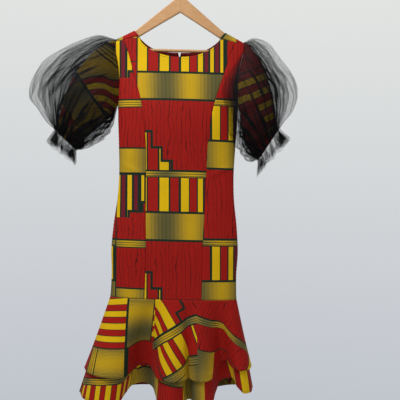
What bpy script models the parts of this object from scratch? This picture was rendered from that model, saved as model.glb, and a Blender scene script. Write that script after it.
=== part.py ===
"""A fitted midi dress with net puff sleeves and a two-tier flounce, hung on a wooden hanger.

World frame: metres, +Z up, the dress's front faces -Y and the wearer's left is at +X. The origin is
the top of the inside of the hanger's hook, where a rail carries it.

Garment sizes below are in millimetres. "drop" is the distance below the hook's resting point, "x" is
the distance from the centre line and "depth" is the distance from the hanger's plane.
"""

from collections import namedtuple

import bmesh
import bpy
import numpy as np

MM = 0.001
SHARP_ANGLE = 0.7

# Cloth
COTTON = 1.3
NET = 1.1
SEAM_GAP = 0.36
HALF_GAP = SEAM_GAP / 2
FRONT = -1.0
BACK = 1.0
ALONG_X, ALONG_Y, ALONG_Z = range(3)

# Levels
HIGHEST = 150.0
UNDERARM = 433.0
FLOUNCE_SEAM = 1030.0

# Shoulders and necklines
NECK_HALF = 142.0
NECK_DROP = 191.5
SHOULDER_SLOPE = 0.515
SHOULDER_ROUND = 14.0
SHOULDER_HALF = 201.0
FRONT_SEAM_NECK = 127.0
FRONT_SEAM_DROP = 212.0
FRONT_SEAM_SLOPE = 0.255
FRONT_NECK_DEPTH = 63.0
FRONT_NECK_POWER = 0.6
BACK_NECK_DROP = 254.0
BACK_NECK_POWER = 3.3

# Body: half width, and how far the front and the back stand from the hanger's plane
Section = namedtuple("Section", "drop half_width front back")
BODY = [
    Section(150, 272, 16, 16),
    Section(190, 264, 16, 16),
    Section(225, 256, 16, 16),
    Section(275, 240, 18, 17),
    Section(330, 220, 25, 19),
    Section(380, 204, 34, 22),
    Section(433, 190.5, 40, 25),
    Section(480, 188, 40, 25),
    Section(558, 184, 34, 24),
    Section(640, 181, 29, 26),
    Section(715, 184, 31, 30),
    Section(797, 194, 35, 35),
    Section(882, 200, 39, 38),
    Section(955, 197, 38, 36),
    Section(1030, 199, 42, 38),
]

# Distance of the princess seams from the centre line
Seam = namedtuple("Seam", "drop x")
PRINCESS = [
    Seam(150, 189),
    Seam(191, 187),
    Seam(219, 180),
    Seam(250, 165),
    Seam(303, 148),
    Seam(345, 135),
    Seam(405, 117),
    Seam(472, 104),
    Seam(555, 96),
    Seam(640, 94),
    Seam(790, 90.5),
    Seam(855, 88),
    Seam(1030, 88),
]

# Distance of the armhole from the centre line, and below it the side seam
ARMHOLE = [
    Seam(150, 201),
    Seam(253, 201),
    Seam(303, 190),
    Seam(350, 184.5),
    Seam(400, 186),
    Seam(433, 190.5),
]

# Rows and columns of the panels, and the shares of the neck and of the shoulder's wrap where they lie
UPPER_ROWS = 7
LOWER_ROWS = 12
SHOULDER_COLUMNS = 3
SIDE_COLUMNS = 6
FRONT_NECK_COLUMNS = [0.0, 0.25, 0.5, 0.74, 0.91]
BACK_NECK_COLUMNS = [0.0, 0.25, 0.48, 0.68, 0.84, 0.95]
WRAP_FRONT_ROWS = [1.0, 0.35, 0.1, 0.0]
WRAP_BACK_ROWS = [0.12, 0.4]

# Sleeves: the outer and the inner end of each section seen from the front, and its depth
Ring = namedtuple("Ring", "outer_x outer_drop inner_x inner_drop depth gather")
NET_RIGHT = [
    Ring(261, 211, 197, 462, 46, 3),
    Ring(345, 245, 203, 487, 64, 4),
    Ring(416, 290, 213, 508, 74, 4),
    Ring(458, 355, 228, 527, 76, 4),
    Ring(467, 408, 250, 545, 70, 4),
    Ring(440, 447, 278, 560, 58, 5),
    Ring(409, 489, 303, 569, 42, 5),
    Ring(385, 510, 320, 570, 27, 3),
    Ring(393, 553, 330, 603, 38, 8),
]
NET_LEFT = [
    Ring(236, 208, 195, 470, 46, 3),
    Ring(284, 228, 194, 505, 62, 4),
    Ring(330, 288, 194, 535, 72, 4),
    Ring(364, 333, 198, 556, 74, 4),
    Ring(374, 385, 207, 574, 68, 4),
    Ring(361, 433, 219, 589, 56, 5),
    Ring(338, 465, 238, 594, 42, 5),
    Ring(320, 492, 256, 588, 29, 3),
    Ring(341, 530, 262, 624, 38, 8),
]
PRINT_RIGHT = [
    Ring(224, 232, 199, 444, 21, 1),
    Ring(276, 268, 211, 463, 31, 3),
    Ring(330, 340, 234, 486, 37, 3),
    Ring(362, 420, 272, 518, 30, 3),
    Ring(379, 516, 327, 563, 19, 1),
]
PRINT_LEFT = [
    Ring(218, 230, 198, 448, 23, 1),
    Ring(252, 276, 202, 482, 36, 3),
    Ring(285, 350, 209, 520, 36, 3),
    Ring(304, 420, 224, 552, 31, 3),
    Ring(310, 503, 265, 578, 20, 1),
]
SLEEVE_GAP = 0.7
NET_OUTWARD = SEAM_GAP + NET
GATHERS = 8
SLEEVE_COLUMNS = 4 * GATHERS
NET_STATIONS = [0, 0.35, 0.9, 1.6, 2.4, 3.2, 4.2, 5.2, 6.2, 7.2, 8, 9]
PRINT_STATIONS = [0, 0.4, 1.2, 2.1, 3, 4, 5]

# Flounces: their hem's ridges and valleys, from the wearer's right side seam round to the left.
# depth is negative in front of the hanger's plane.
Hem = namedtuple("Hem", "x depth drop")
FRONT_HEM = [
    Hem(-294, 0, 1330),
    Hem(-268, -58, 1336),
    Hem(-208, -86, 1342),
    Hem(-154, -66, 1344),
    Hem(-134, -14, 1328),
    Hem(-118, 24, 1316),
    Hem(-92, 36, 1312),
    Hem(-70, 20, 1316),
    Hem(-54, -22, 1330),
    Hem(-42, -66, 1344),
    Hem(3, -94, 1350),
    Hem(45, -68, 1348),
    Hem(57, -30, 1340),
    Hem(70, -66, 1346),
    Hem(104, -88, 1348),
    Hem(134, -58, 1340),
    Hem(147, -14, 1316),
    Hem(163, 14, 1290),
    Hem(184, 8, 1282),
    Hem(200, -30, 1298),
    Hem(222, -58, 1308),
    Hem(250, -44, 1308),
    Hem(262, 0, 1304),
]
BACK_HEM = [
    Hem(-294, 0, 1330),
    Hem(-262, 50, 1334),
    Hem(-214, 44, 1326),
    Hem(-164, 76, 1336),
    Hem(-112, 60, 1322),
    Hem(-66, 58, 1320),
    Hem(-20, 82, 1334),
    Hem(36, 50, 1322),
    Hem(88, 80, 1336),
    Hem(140, 44, 1318),
    Hem(196, 66, 1316),
    Hem(242, 36, 1308),
    Hem(262, 0, 1304),
]
LOWER_LENGTH = 330.0
UPPER_LENGTH = 250.0
TIER_GAP = 1.4
TIER_ROWS = 5
FRONT_HEM_STEPS = 2
BACK_HEM_STEPS = 3

# Zip
ZIP_TOP = 273.0
ZIP_END = 790.0
NECK_OPENING = 4.0
TAPE_HALF = 12.0
TAPE = 1.0
TAPE_INWARD = COTTON + 0.54
TAPE_ROWS = 12
SLIDER_DROP = 279.0
SLIDER_HALF_WIDTH = 3.2
SLIDER_HALF_LENGTH = 5.0
SLIDER_THICK = 1.6
BRIDGE_HALF_WIDTH = 0.8
BRIDGE_HALF_LENGTH = 2.6
BRIDGE_BAR = 0.8
BRIDGE_ROOM = 1.0
BRIDGE_SINK = 0.4
SLIDER_SEAT = 0.3
PIVOT_HEIGHT = 1.05
PULL_HALF_WIDTH = 3.0
PULL_THICK = 1.2
PULL_BAR = 0.45
PULL_EYE = 4.0
PULL_LENGTH = 24.0

# Hanger: the arms' upright sections, from the joint in the middle to the tip
ArmSection = namedtuple("ArmSection", "x top bottom half_thick radius")
HANGER = [
    ArmSection(0.15, 84, 132, 5.5, 4),
    ArmSection(11, 84, 138.6, 5.5, 4),
    ArmSection(60, 125.3, 168.7, 5.5, 4),
    ArmSection(127, 182.0, 211, 5.5, 4),
    ArmSection(142, 193.6, 220, 5.5, 4),
    ArmSection(166, 206.0, 235, 5.5, 4),
    ArmSection(172.9, 209.5, 240, 5.5, 4),
    ArmSection(173.2, 209.7, 259, 5.5, 4),
    ArmSection(190, 218.3, 259, 5.5, 4),
    ArmSection(194.5, 224, 257, 5.2, 4),
    ArmSection(196, 230, 252, 3.5, 3),
]
ARM_TOP = 84.0
BAR_DROP = 252.0
BAR_RADIUS = 4.75
BAR_HALF = 172.6
HOOK_INNER = 20.0
HOOK_BEND = 13.0
HOOK_NECK = 60.0
HOOK_TIP_ANGLE = 195.0
HOOK_END_ANGLE = -50.0
WIRE_RADIUS = 1.9


def column(rows, name):
    """One named column of a table as an array."""
    return np.array([getattr(row, name) for row in rows], dtype=float)


def smooth(at, knots, values):
    """A cubic through the knots, whose slope at each knot comes from its two neighbours."""
    slopes = np.gradient(values, knots, axis=0)
    at = np.clip(at, knots[0], knots[-1])
    left = np.clip(np.searchsorted(knots, at, side="right") - 1, 0, len(knots) - 2)
    step = knots[left + 1] - knots[left]
    t = (at - knots[left]) / step
    if np.ndim(values) > 1:
        extra = (1,) * (np.ndim(values) - 1)
        t = t.reshape(t.shape + extra)
        step = step.reshape(step.shape + extra)
    low = (1 + 2 * t) * (1 - t) ** 2 * values[left] + t * (1 - t) ** 2 * step * slopes[left]
    high = t * t * (3 - 2 * t) * values[left + 1] + t * t * (t - 1) * step * slopes[left + 1]
    return low + high


def half_width(drop):
    return smooth(drop, column(BODY, "drop"), column(BODY, "half_width"))


def princess_x(drop):
    return smooth(drop, column(PRINCESS, "drop"), column(PRINCESS, "x"))


def side_x(drop):
    """The armhole's edge, and the side seam under it."""
    armhole = np.interp(drop, column(ARMHOLE, "drop"), column(ARMHOLE, "x"))
    return np.where(drop < UNDERARM, armhole, half_width(drop))


def ridge_drop(x):
    """The top of the shoulder, a straight slope from the neck to the tip."""
    return NECK_DROP + (np.abs(x) - NECK_HALF) * SHOULDER_SLOPE


def front_seam_drop(x):
    """The shoulder seam, which lies a little in front of the ridge."""
    return FRONT_SEAM_DROP + (np.abs(x) - FRONT_SEAM_NECK) * FRONT_SEAM_SLOPE


def front_neck_drop(x):
    rise = np.clip(1 - (x / FRONT_SEAM_NECK) ** 2, 0, 1) ** FRONT_NECK_POWER
    return FRONT_SEAM_DROP + FRONT_NECK_DEPTH * rise


def back_neck_drop(x):
    rise = (np.abs(x) / NECK_HALF) ** BACK_NECK_POWER
    return BACK_NECK_DROP - (BACK_NECK_DROP - NECK_DROP) * rise


def body_depth(x, drop, facing):
    """How far the cloth stands from the hanger's plane: an ellipse across, rounded off at the ridge."""
    knots = column(BODY, "drop")
    front = smooth(drop, knots, column(BODY, "front"))
    back = smooth(drop, knots, column(BODY, "back"))
    deep = np.where(facing < 0, front, back)
    across = np.sqrt(np.clip(1 - (x / half_width(drop)) ** 2, 0, 1))
    below = np.clip((drop - ridge_drop(x)) / SHOULDER_ROUND, 0, 1)
    return deep * across * np.sqrt(1 - (1 - below) ** 2)


def body_points(x, drop, facing):
    """World points of the cloth's outside at the given places."""
    x, drop, facing = np.broadcast_arrays(x, drop, facing)
    return np.stack([x, facing * body_depth(x, drop, facing), -drop], axis=-1) * MM


def between(low_edge, high_edge, share, drop):
    """x of a column, a share of the way round the body's section from one edge to the other."""
    width = half_width(drop)
    low = np.arcsin(np.clip(low_edge(drop) / width, -1, 1))
    high = np.arcsin(np.clip(high_edge(drop) / width, -1, 1))
    return width * np.sin(low + (high - low) * share)


def column_top(x_at, edge):
    """Where each column, going up, meets an edge that is given as a drop for each x."""
    high = np.full(x_at(UNDERARM).shape, HIGHEST)
    low = np.full(high.shape, UNDERARM)
    for _ in range(40):
        middle = (high + low) / 2
        under = middle > edge(x_at(middle))
        low = np.where(under, middle, low)
        high = np.where(under, high, middle)
    return (high + low) / 2


class Sheet:
    """The outside of one piece of cloth, gathered from grids that share their edges."""

    def __init__(self):
        self.points = []
        self.triangles = []
        self.places = {}

    def vertex(self, point):
        key = tuple(np.round(point, 7))
        if key not in self.places:
            self.places[key] = len(self.points)
            self.points.append(point)
        return self.places[key]

    def add(self, grid, closed=False):
        """Two triangles for each square of a grid of rows and columns."""
        rows, columns = grid.shape[:2]
        number = np.array([[self.vertex(point) for point in row] for row in grid])
        last = columns if closed else columns - 1
        for row in range(rows - 1):
            for col in range(last):
                after = (col + 1) % columns
                a, b = number[row, col], number[row, after]
                c, d = number[row + 1, after], number[row + 1, col]
                self.triangles += [(a, b, c), (a, c, d)]
        return number

    def normals(self):
        points = np.array(self.points)
        faces = np.array(self.triangles)
        first, second, third = (points[faces[:, k]] for k in range(3))
        area = np.cross(second - first, third - first)
        total = np.zeros_like(points)
        for k in range(3):
            np.add.at(total, faces[:, k], area)
        return total / np.linalg.norm(total, axis=1, keepdims=True)

    def wall(self, thickness, centres, flat_rims=(), offset=0.0):
        """A closed wall: the outside, the same inside moved in along the normals, and a rim between.

        centres holds a point on the hollow side of each vertex. Each of flat_rims is an axis and the
        vertices whose normals have nothing along it, so that the two pieces of a seam meet flat.
        """
        points = np.array(self.points)
        faces = np.array(self.triangles)
        normals = self.normals()
        if np.sum(normals * (points - centres)) < 0:
            normals = -normals
            faces = faces[:, ::-1]
        for axis, vertices in flat_rims:
            normals[vertices, axis] = 0.0
        normals /= np.linalg.norm(normals, axis=1, keepdims=True)
        outer = points - normals * np.reshape(offset, (-1, 1)) * MM
        inner = outer - normals * thickness * MM
        count = len(points)
        edges = {}
        for face in faces.tolist():
            for k in range(3):
                edges[(face[k], face[(k + 1) % 3])] = True
        rim = []
        for a, b in edges:
            if (b, a) not in edges:
                rim += [(b, a, a + count), (b, a + count, b + count)]
        solid = faces.tolist() + (faces[:, ::-1] + count).tolist() + rim
        return np.vstack([outer, inner]), solid


def material(name, colour, roughness, metallic=0.0):
    made = bpy.data.materials.new(name)
    made.use_nodes = True
    shader = made.node_tree.nodes["Principled BSDF"]
    shader.inputs["Base Color"].default_value = (*colour, 1.0)
    shader.inputs["Roughness"].default_value = roughness
    shader.inputs["Metallic"].default_value = metallic
    made.diffuse_color = (*colour, 1.0)
    return made


def link_mesh(name, mesh, finish):
    """Put a mesh into the scene, smooth up to the sharp angle."""
    mesh.shade_smooth()
    mesh.set_sharp_from_angle(angle=SHARP_ANGLE)
    mesh.materials.append(finish)
    made = bpy.data.objects.new(name, mesh)
    bpy.context.scene.collection.objects.link(made)
    return made


def place(name, points, faces, finish):
    mesh = bpy.data.meshes.new(name)
    mesh.from_pydata([tuple(p) for p in points], [], [tuple(f) for f in faces])
    mesh.validate()
    return link_mesh(name, mesh, finish)


def place_bmesh(name, shape, finish):
    mesh = bpy.data.meshes.new(name)
    shape.to_mesh(mesh)
    shape.free()
    return link_mesh(name, mesh, finish)


def axis_points(points):
    """The points of the dress's own upright axis beside each vertex."""
    return np.array(points) * np.array([0.0, 0.0, 1.0])


def main_rows(top, upper_rows, lower_rows):
    """Levels of a panel's rows, with one on the underarm so that neighbours share it."""
    upper = top + (UNDERARM - top) * np.linspace(0, 1, upper_rows + 1)[:, None]
    bottom = FLOUNCE_SEAM - SEAM_GAP / 2
    lower = UNDERARM + (bottom - UNDERARM) * np.linspace(0, 1, lower_rows + 1)[1:, None]
    return np.vstack([upper, lower * np.ones_like(top)])


def princess_inside(drop):
    return princess_x(drop) - HALF_GAP


def princess_outside(drop):
    return princess_x(drop) + HALF_GAP


def corner_share(low_edge, high_edge, x, drop):
    """The share of a column that passes through a given place."""
    width = half_width(drop)
    low, high, here = (np.arcsin(v / width) for v in (low_edge(drop), high_edge(drop), x))
    return float((here - low) / (high - low))


def make_front_centre(finish):
    """One piece from princess seam to princess seam, with the neckline and both shoulder seams."""
    def low_edge(drop):
        return -princess_inside(drop)

    seam_x = FRONT_SEAM_NECK
    corner = corner_share(low_edge, princess_inside, seam_x, np.array(FRONT_SEAM_DROP))
    neck = 0.5 + (corner - 0.5) * np.array(FRONT_NECK_COLUMNS)
    shoulder = np.linspace(corner, 1.0, SHOULDER_COLUMNS)

    def top_of(share, edge):
        return column_top(lambda drop: between(low_edge, princess_inside, share, drop), edge)

    neck_top = top_of(neck, front_neck_drop)
    shoulder_top = top_of(shoulder, front_seam_drop) + HALF_GAP
    half_share = np.concatenate([neck, shoulder])
    half_top = np.concatenate([neck_top, shoulder_top])
    share = np.concatenate([1.0 - half_share[:0:-1], half_share])
    top = np.concatenate([half_top[:0:-1], half_top])
    drops = main_rows(top, UPPER_ROWS, LOWER_ROWS)
    x = between(low_edge, princess_inside, share, drops)
    sheet = Sheet()
    number = sheet.add(body_points(x, drops, FRONT))
    count = len(shoulder)
    shoulder_seam = np.concatenate([number[0, :count], number[0, -count:]])
    solid = sheet.wall(COTTON, axis_points(sheet.points), [(ALONG_Z, shoulder_seam)])
    place("front_centre", *solid, finish)


def round_top(x):
    return ridge_drop(x) + SHOULDER_ROUND


def zip_edge(drop):
    """The centre-back edge, which stands open above the zip's slider."""
    spread = np.clip((ZIP_TOP - drop) / (ZIP_TOP - BACK_NECK_DROP), 0, 1)
    return HALF_GAP + NECK_OPENING * spread


def wrap_grid(top_row, back_x, ridge_x, seam_x):
    """The stretch of a back panel over the shoulder, from the seam in front up and over to the back."""
    front_share = np.array(WRAP_FRONT_ROWS)[:, None]
    x = ridge_x + (seam_x - ridge_x) * front_share
    drop = ridge_drop(x) + (front_seam_drop(x) - HALF_GAP - ridge_drop(x)) * front_share
    front = body_points(x, drop, FRONT)
    back_share = np.array(WRAP_BACK_ROWS)[:, None]
    x = ridge_x + (back_x - ridge_x) * back_share
    back = body_points(x, ridge_drop(x) + SHOULDER_ROUND * back_share, BACK)
    return np.vstack([front, back, top_row[None]])


def make_panel(name, sign, facing, grid, wrap, has_side_seam, finish):
    """One panel beside the front centre.

    A side seam's edge stops half a gap short of the plane between front and back.
    """
    flip = np.array([sign, 1.0, 1.0])
    if has_side_seam:
        grid[UPPER_ROWS:, -1, 1] = facing * HALF_GAP * MM
    sheet = Sheet()
    number = sheet.add(grid * flip)
    shoulder_seam = number[0]
    if wrap is not None:
        shoulder_seam = sheet.add(wrap * flip)[0]
    rims = [(ALONG_Z, shoulder_seam)]
    if has_side_seam:
        rims.append((ALONG_Y, number[UPPER_ROWS:, -1]))
    place(name, *sheet.wall(COTTON, axis_points(sheet.points), rims), finish)


def make_front_side(name, sign, finish):
    share = np.linspace(0, 1, SIDE_COLUMNS)
    top = column_top(lambda drop: between(princess_outside, side_x, share, drop), front_seam_drop)
    drops = main_rows(top + HALF_GAP, UPPER_ROWS, LOWER_ROWS)
    x = between(princess_outside, side_x, share, drops)
    make_panel(name, sign, FRONT, body_points(x, drops, FRONT), None, True, finish)


def make_back_side(name, sign, finish):
    share = np.linspace(0, 1, SIDE_COLUMNS)

    def x_at(drop):
        return between(princess_outside, side_x, share, drop)

    drops = main_rows(column_top(x_at, round_top), UPPER_ROWS, LOWER_ROWS)
    x = x_at(drops)
    ridge_x = x_at(column_top(x_at, ridge_drop))
    seam_x = x_at(column_top(x_at, front_seam_drop))
    grid = body_points(x, drops, BACK)
    wrap = wrap_grid(grid[0], x[0], ridge_x, seam_x)
    make_panel(name, sign, BACK, grid, wrap, True, finish)


def make_back_centre(name, sign, finish):
    """A back half from the zip to the princess seam, with the neckline, and its wrapped shoulder."""
    corner = corner_share(zip_edge, princess_inside, NECK_HALF, np.array(NECK_DROP))
    neck = corner * np.array(BACK_NECK_COLUMNS)
    shoulder = np.linspace(corner, 1.0, SHOULDER_COLUMNS)

    def x_at(share):
        return lambda drop: between(zip_edge, princess_inside, share, drop)

    neck_top = column_top(x_at(neck), back_neck_drop)
    shoulder_top = column_top(x_at(shoulder), round_top)
    share = np.concatenate([neck, shoulder])
    drops = main_rows(np.concatenate([neck_top, shoulder_top]), UPPER_ROWS, LOWER_ROWS)
    x = x_at(share)(drops)
    grid = body_points(x, drops, BACK)
    ridge_x = x_at(shoulder)(column_top(x_at(shoulder), ridge_drop))
    outer = np.ones(1)
    seam_end = x_at(outer)(column_top(x_at(outer), front_seam_drop))
    seam_x = FRONT_SEAM_NECK + (seam_end - FRONT_SEAM_NECK) * np.linspace(0, 1, SHOULDER_COLUMNS)
    wrap = wrap_grid(grid[0, len(neck):], x[0, len(neck):], ridge_x, seam_x)
    make_panel(name, sign, BACK, grid, wrap, False, finish)


def seam_ring(share, facing):
    """Points of the skirt's lower edge at equal shares of its length."""
    fine = np.linspace(-np.pi / 2, np.pi / 2, 721)
    wide = half_width(np.array(FLOUNCE_SEAM))
    deep = column(BODY, "front" if facing < 0 else "back")[-1]
    x = wide * np.sin(fine)
    y = facing * deep * np.cos(fine)
    run = np.concatenate([[0], np.cumsum(np.hypot(np.diff(x), np.diff(y)))])
    angle = np.interp(share * run[-1], run, fine)
    level = np.full_like(angle, FLOUNCE_SEAM + HALF_GAP)
    return np.stack([wide * np.sin(angle), facing * deep * np.cos(angle), level], axis=-1)


def flounce_grid(rows, facing, steps, lengths):
    """Straight lines from the skirt's edge to the fluted hem, cut off at the given lengths.

    The hem runs as a cubic through its table, and both ends of a line lie at the same share of
    the two edges, as they do in a flounce that was cut as part of a ring.
    """
    knots = np.stack([column(rows, "x"), column(rows, "depth"), column(rows, "drop")], axis=-1)
    chords = np.hypot(np.diff(knots[:, 0]), np.diff(knots[:, 1]))
    place_of = np.concatenate([[0], np.cumsum(chords)])
    at = np.interp(np.arange(steps * (len(rows) - 1) + 1) / steps, np.arange(len(rows)), place_of)
    hem = smooth(at, place_of, knots)
    seam = seam_ring(at / place_of[-1], facing)
    grid = seam + (hem - seam) * (np.array(lengths) / LOWER_LENGTH)[:, None, None]
    grid[:, [0, -1], 1] = facing * HALF_GAP
    return grid * np.array([1.0, 1.0, -1.0]) * MM


def make_flounce(name, rows, facing, steps, lengths, under, finish):
    """One half of a tier, joined to the other at the side seams. The lower tier hangs inside."""
    grid = flounce_grid(rows, facing, steps, lengths)
    sheet = Sheet()
    number = sheet.add(grid)
    seam = np.concatenate([number[:, 0], number[:, -1]])
    offset = np.zeros(len(sheet.points))
    if under:
        inward = COTTON + SEAM_GAP + TIER_GAP * np.array(lengths) / LOWER_LENGTH
        offset = np.repeat(inward, grid.shape[1])
    rims = [(ALONG_Z, number[0]), (ALONG_Y, seam)]
    place(name, *sheet.wall(COTTON, axis_points(sheet.points), rims, offset), finish)


def armhole_ring(turn, outward):
    """The armhole's edge as a ring, and the same ring moved outwards for the net."""
    mix = (1 - np.cos(turn)) / 2
    tip = ridge_drop(SHOULDER_HALF)
    drop = tip + (UNDERARM - tip) * mix
    x = side_x(drop)
    deep = body_depth(x, drop, -np.sign(np.sin(turn)))
    y = -np.sign(np.round(np.sin(turn), 6)) * deep
    along_y = np.roll(y, -1) - np.roll(y, 1)
    along_drop = np.roll(drop, -1) - np.roll(drop, 1)
    size = np.hypot(along_y, along_drop)
    out_y = y - along_drop / size * outward
    out_drop = drop + along_y / size * outward
    return np.stack([x + SLEEVE_GAP, out_y, out_drop], axis=-1)


def make_sleeve(name, sign, rows, stations, outward, thickness, finish):
    """A closed tube from the armhole to the elbow: ellipses between the ends given in its table,
    rippled by its gathers, whose depth grows and shrinks along it as the table says."""
    turn = 2 * np.pi * np.arange(SLEEVE_COLUMNS) / SLEEVE_COLUMNS
    mix = ((1 - np.cos(turn)) / 2)[None, :]
    outer_x, inner_x = column(rows, "outer_x")[:, None], column(rows, "inner_x")[:, None]
    outer_drop, inner_drop = column(rows, "outer_drop")[:, None], column(rows, "inner_drop")[:, None]
    x = outer_x + (inner_x - outer_x) * mix
    drop = outer_drop + (inner_drop - outer_drop) * mix
    y = -column(rows, "depth")[:, None] * np.sin(turn)[None, :]
    rings = np.concatenate([armhole_ring(turn, outward)[None], np.stack([x, y, drop], axis=-1)])
    order = np.arange(len(rings), dtype=float)
    grid = smooth(np.array(stations), order, rings)
    ripple = smooth(np.array(stations), order, np.concatenate([[0.0], column(rows, "gather")]))
    centre = grid.mean(axis=1, keepdims=True)
    away = grid - centre
    away /= np.linalg.norm(away, axis=-1, keepdims=True)
    grid = grid - away * ripple[:, None, None] * np.cos(GATHERS * turn)[None, :, None]
    scale = np.array([sign, 1.0, -1.0]) * MM
    sheet = Sheet()
    number = sheet.add(grid * scale, closed=True)
    centres = np.repeat(centre[:, 0] * scale, SLEEVE_COLUMNS, axis=0)
    place(name, *sheet.wall(thickness, centres, [(ALONG_X, number[0])]), finish)


def back_surface(drop):
    """The outside of the back on the centre line."""
    return float(body_depth(np.array(0.0), np.array(drop), np.array(BACK)))


def make_zip_tape(finish):
    """The zip's tapes as one strip behind the closed seam, from the slider down."""
    x = np.linspace(-TAPE_HALF, TAPE_HALF, 3)[None, :]
    drops = np.linspace(ZIP_TOP + SLIDER_HALF_LENGTH, ZIP_END, TAPE_ROWS)[:, None]
    sheet = Sheet()
    sheet.add(body_points(x, drops, BACK))
    place("zip_tape", *sheet.wall(TAPE, axis_points(sheet.points), offset=TAPE_INWARD), finish)


def box_shape(low, high):
    """A box between two corners, in millimetres."""
    shape = bmesh.new()
    bmesh.ops.create_cube(shape, size=1.0)
    middle = (np.array(low) + np.array(high)) / 2
    size = np.array(high) - np.array(low)
    for vertex in shape.verts:
        vertex.co = tuple((np.array(vertex.co) * size + middle) * MM)
    return shape


def cut_with(base, tool, operation):
    """A Boolean that stays on its object, with its tool kept as a guide."""
    tool.hide_render = True
    tool.display_type = "WIRE"
    step = base.modifiers.new(operation.lower(), "BOOLEAN")
    step.operation = operation
    step.object = tool
    step.solver = "EXACT"


def make_zip_pull(metal):
    """The slider on the closed end of the zip, and its tab, which swings on a bar under the bridge.

    Both lean with the back. Heights are measured out from the cloth and lengths along it.
    """
    low_end = back_surface(SLIDER_DROP + PULL_LENGTH)
    lean = np.arctan2(low_end - back_surface(SLIDER_DROP), PULL_LENGTH)
    top = SLIDER_SEAT + SLIDER_THICK
    pivot = top + PIVOT_HEIGHT
    foot = (0.0, back_surface(SLIDER_DROP) * MM, -SLIDER_DROP * MM)
    spin = (lean, 0.0, 0.0)
    plate = place_bmesh("zip_slider", box_shape(
        (-SLIDER_HALF_WIDTH, SLIDER_SEAT, -SLIDER_HALF_LENGTH),
        (SLIDER_HALF_WIDTH, top, SLIDER_HALF_LENGTH)), metal)
    bridge = place_bmesh("bridge_shape", box_shape(
        (-BRIDGE_HALF_WIDTH, top - BRIDGE_SINK, -BRIDGE_HALF_LENGTH),
        (BRIDGE_HALF_WIDTH, pivot + BRIDGE_ROOM + BRIDGE_BAR, BRIDGE_HALF_LENGTH)), metal)
    arch = place_bmesh("bridge_opening", box_shape(
        (-SLIDER_HALF_WIDTH, top, -BRIDGE_HALF_LENGTH + BRIDGE_BAR),
        (SLIDER_HALF_WIDTH, pivot + BRIDGE_ROOM, BRIDGE_HALF_LENGTH - BRIDGE_BAR)), metal)
    for piece in (plate, bridge, arch):
        piece.location = foot
        piece.rotation_euler = spin
    cut_with(plate, bridge, "UNION")
    cut_with(plate, arch, "DIFFERENCE")
    half = PULL_THICK / 2
    tab = place_bmesh("zip_pull", box_shape(
        (-PULL_HALF_WIDTH, -half, -PULL_LENGTH), (PULL_HALF_WIDTH, half, PULL_BAR)), metal)
    window = place_bmesh("pull_window", box_shape(
        (-PULL_HALF_WIDTH / 2, -PULL_THICK, -PULL_EYE), (PULL_HALF_WIDTH / 2, PULL_THICK, -PULL_BAR)),
        metal)
    outwards = np.array([0.0, np.cos(lean), np.sin(lean)])
    hinge = np.array(foot) + outwards * pivot * MM
    for piece in (tab, window):
        piece.location = tuple(hinge)
        piece.rotation_euler = spin
    cut_with(tab, window, "DIFFERENCE")


def rounded_section(x, top, bottom, half_thick, radius):
    """A rectangle with rounded corners, upright and across the arm, as twelve points."""
    bend = np.radians([0.0, 45.0, 90.0])
    points = []
    for middle_y, middle_drop, start in (
            (half_thick - radius, top + radius, -90.0), (half_thick - radius, bottom - radius, 0.0),
            (radius - half_thick, bottom - radius, 90.0), (radius - half_thick, top + radius, 180.0)):
        angle = bend + np.radians(start)
        for a in angle:
            points.append((x, middle_y + radius * np.cos(a), middle_drop + radius * np.sin(a)))
    return points


def make_arm(name, sign, finish):
    """One arm of the hanger, lofted through upright sections from the joint to the tip."""
    sections = []
    for row in HANGER:
        sections.append(rounded_section(row.x, row.top, row.bottom, row.half_thick, row.radius))
    grid = np.array(sections) * np.array([sign, 1.0, -1.0]) * MM
    count = grid.shape[1]
    faces = []
    for row in range(len(grid) - 1):
        for k in range(count):
            after = (k + 1) % count
            faces.append((row * count + k, row * count + after,
                          (row + 1) * count + after, (row + 1) * count + k))
    last = (len(grid) - 1) * count
    faces.append(tuple(range(count)))
    faces.append(tuple(last + k for k in reversed(range(count))))
    shape = bmesh.new()
    corners = [shape.verts.new(tuple(p)) for p in grid.reshape(-1, 3)]
    for face in faces:
        shape.faces.new([corners[k] for k in face])
    bmesh.ops.recalc_face_normals(shape, faces=shape.faces)
    place_bmesh(name, shape, finish)


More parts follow.
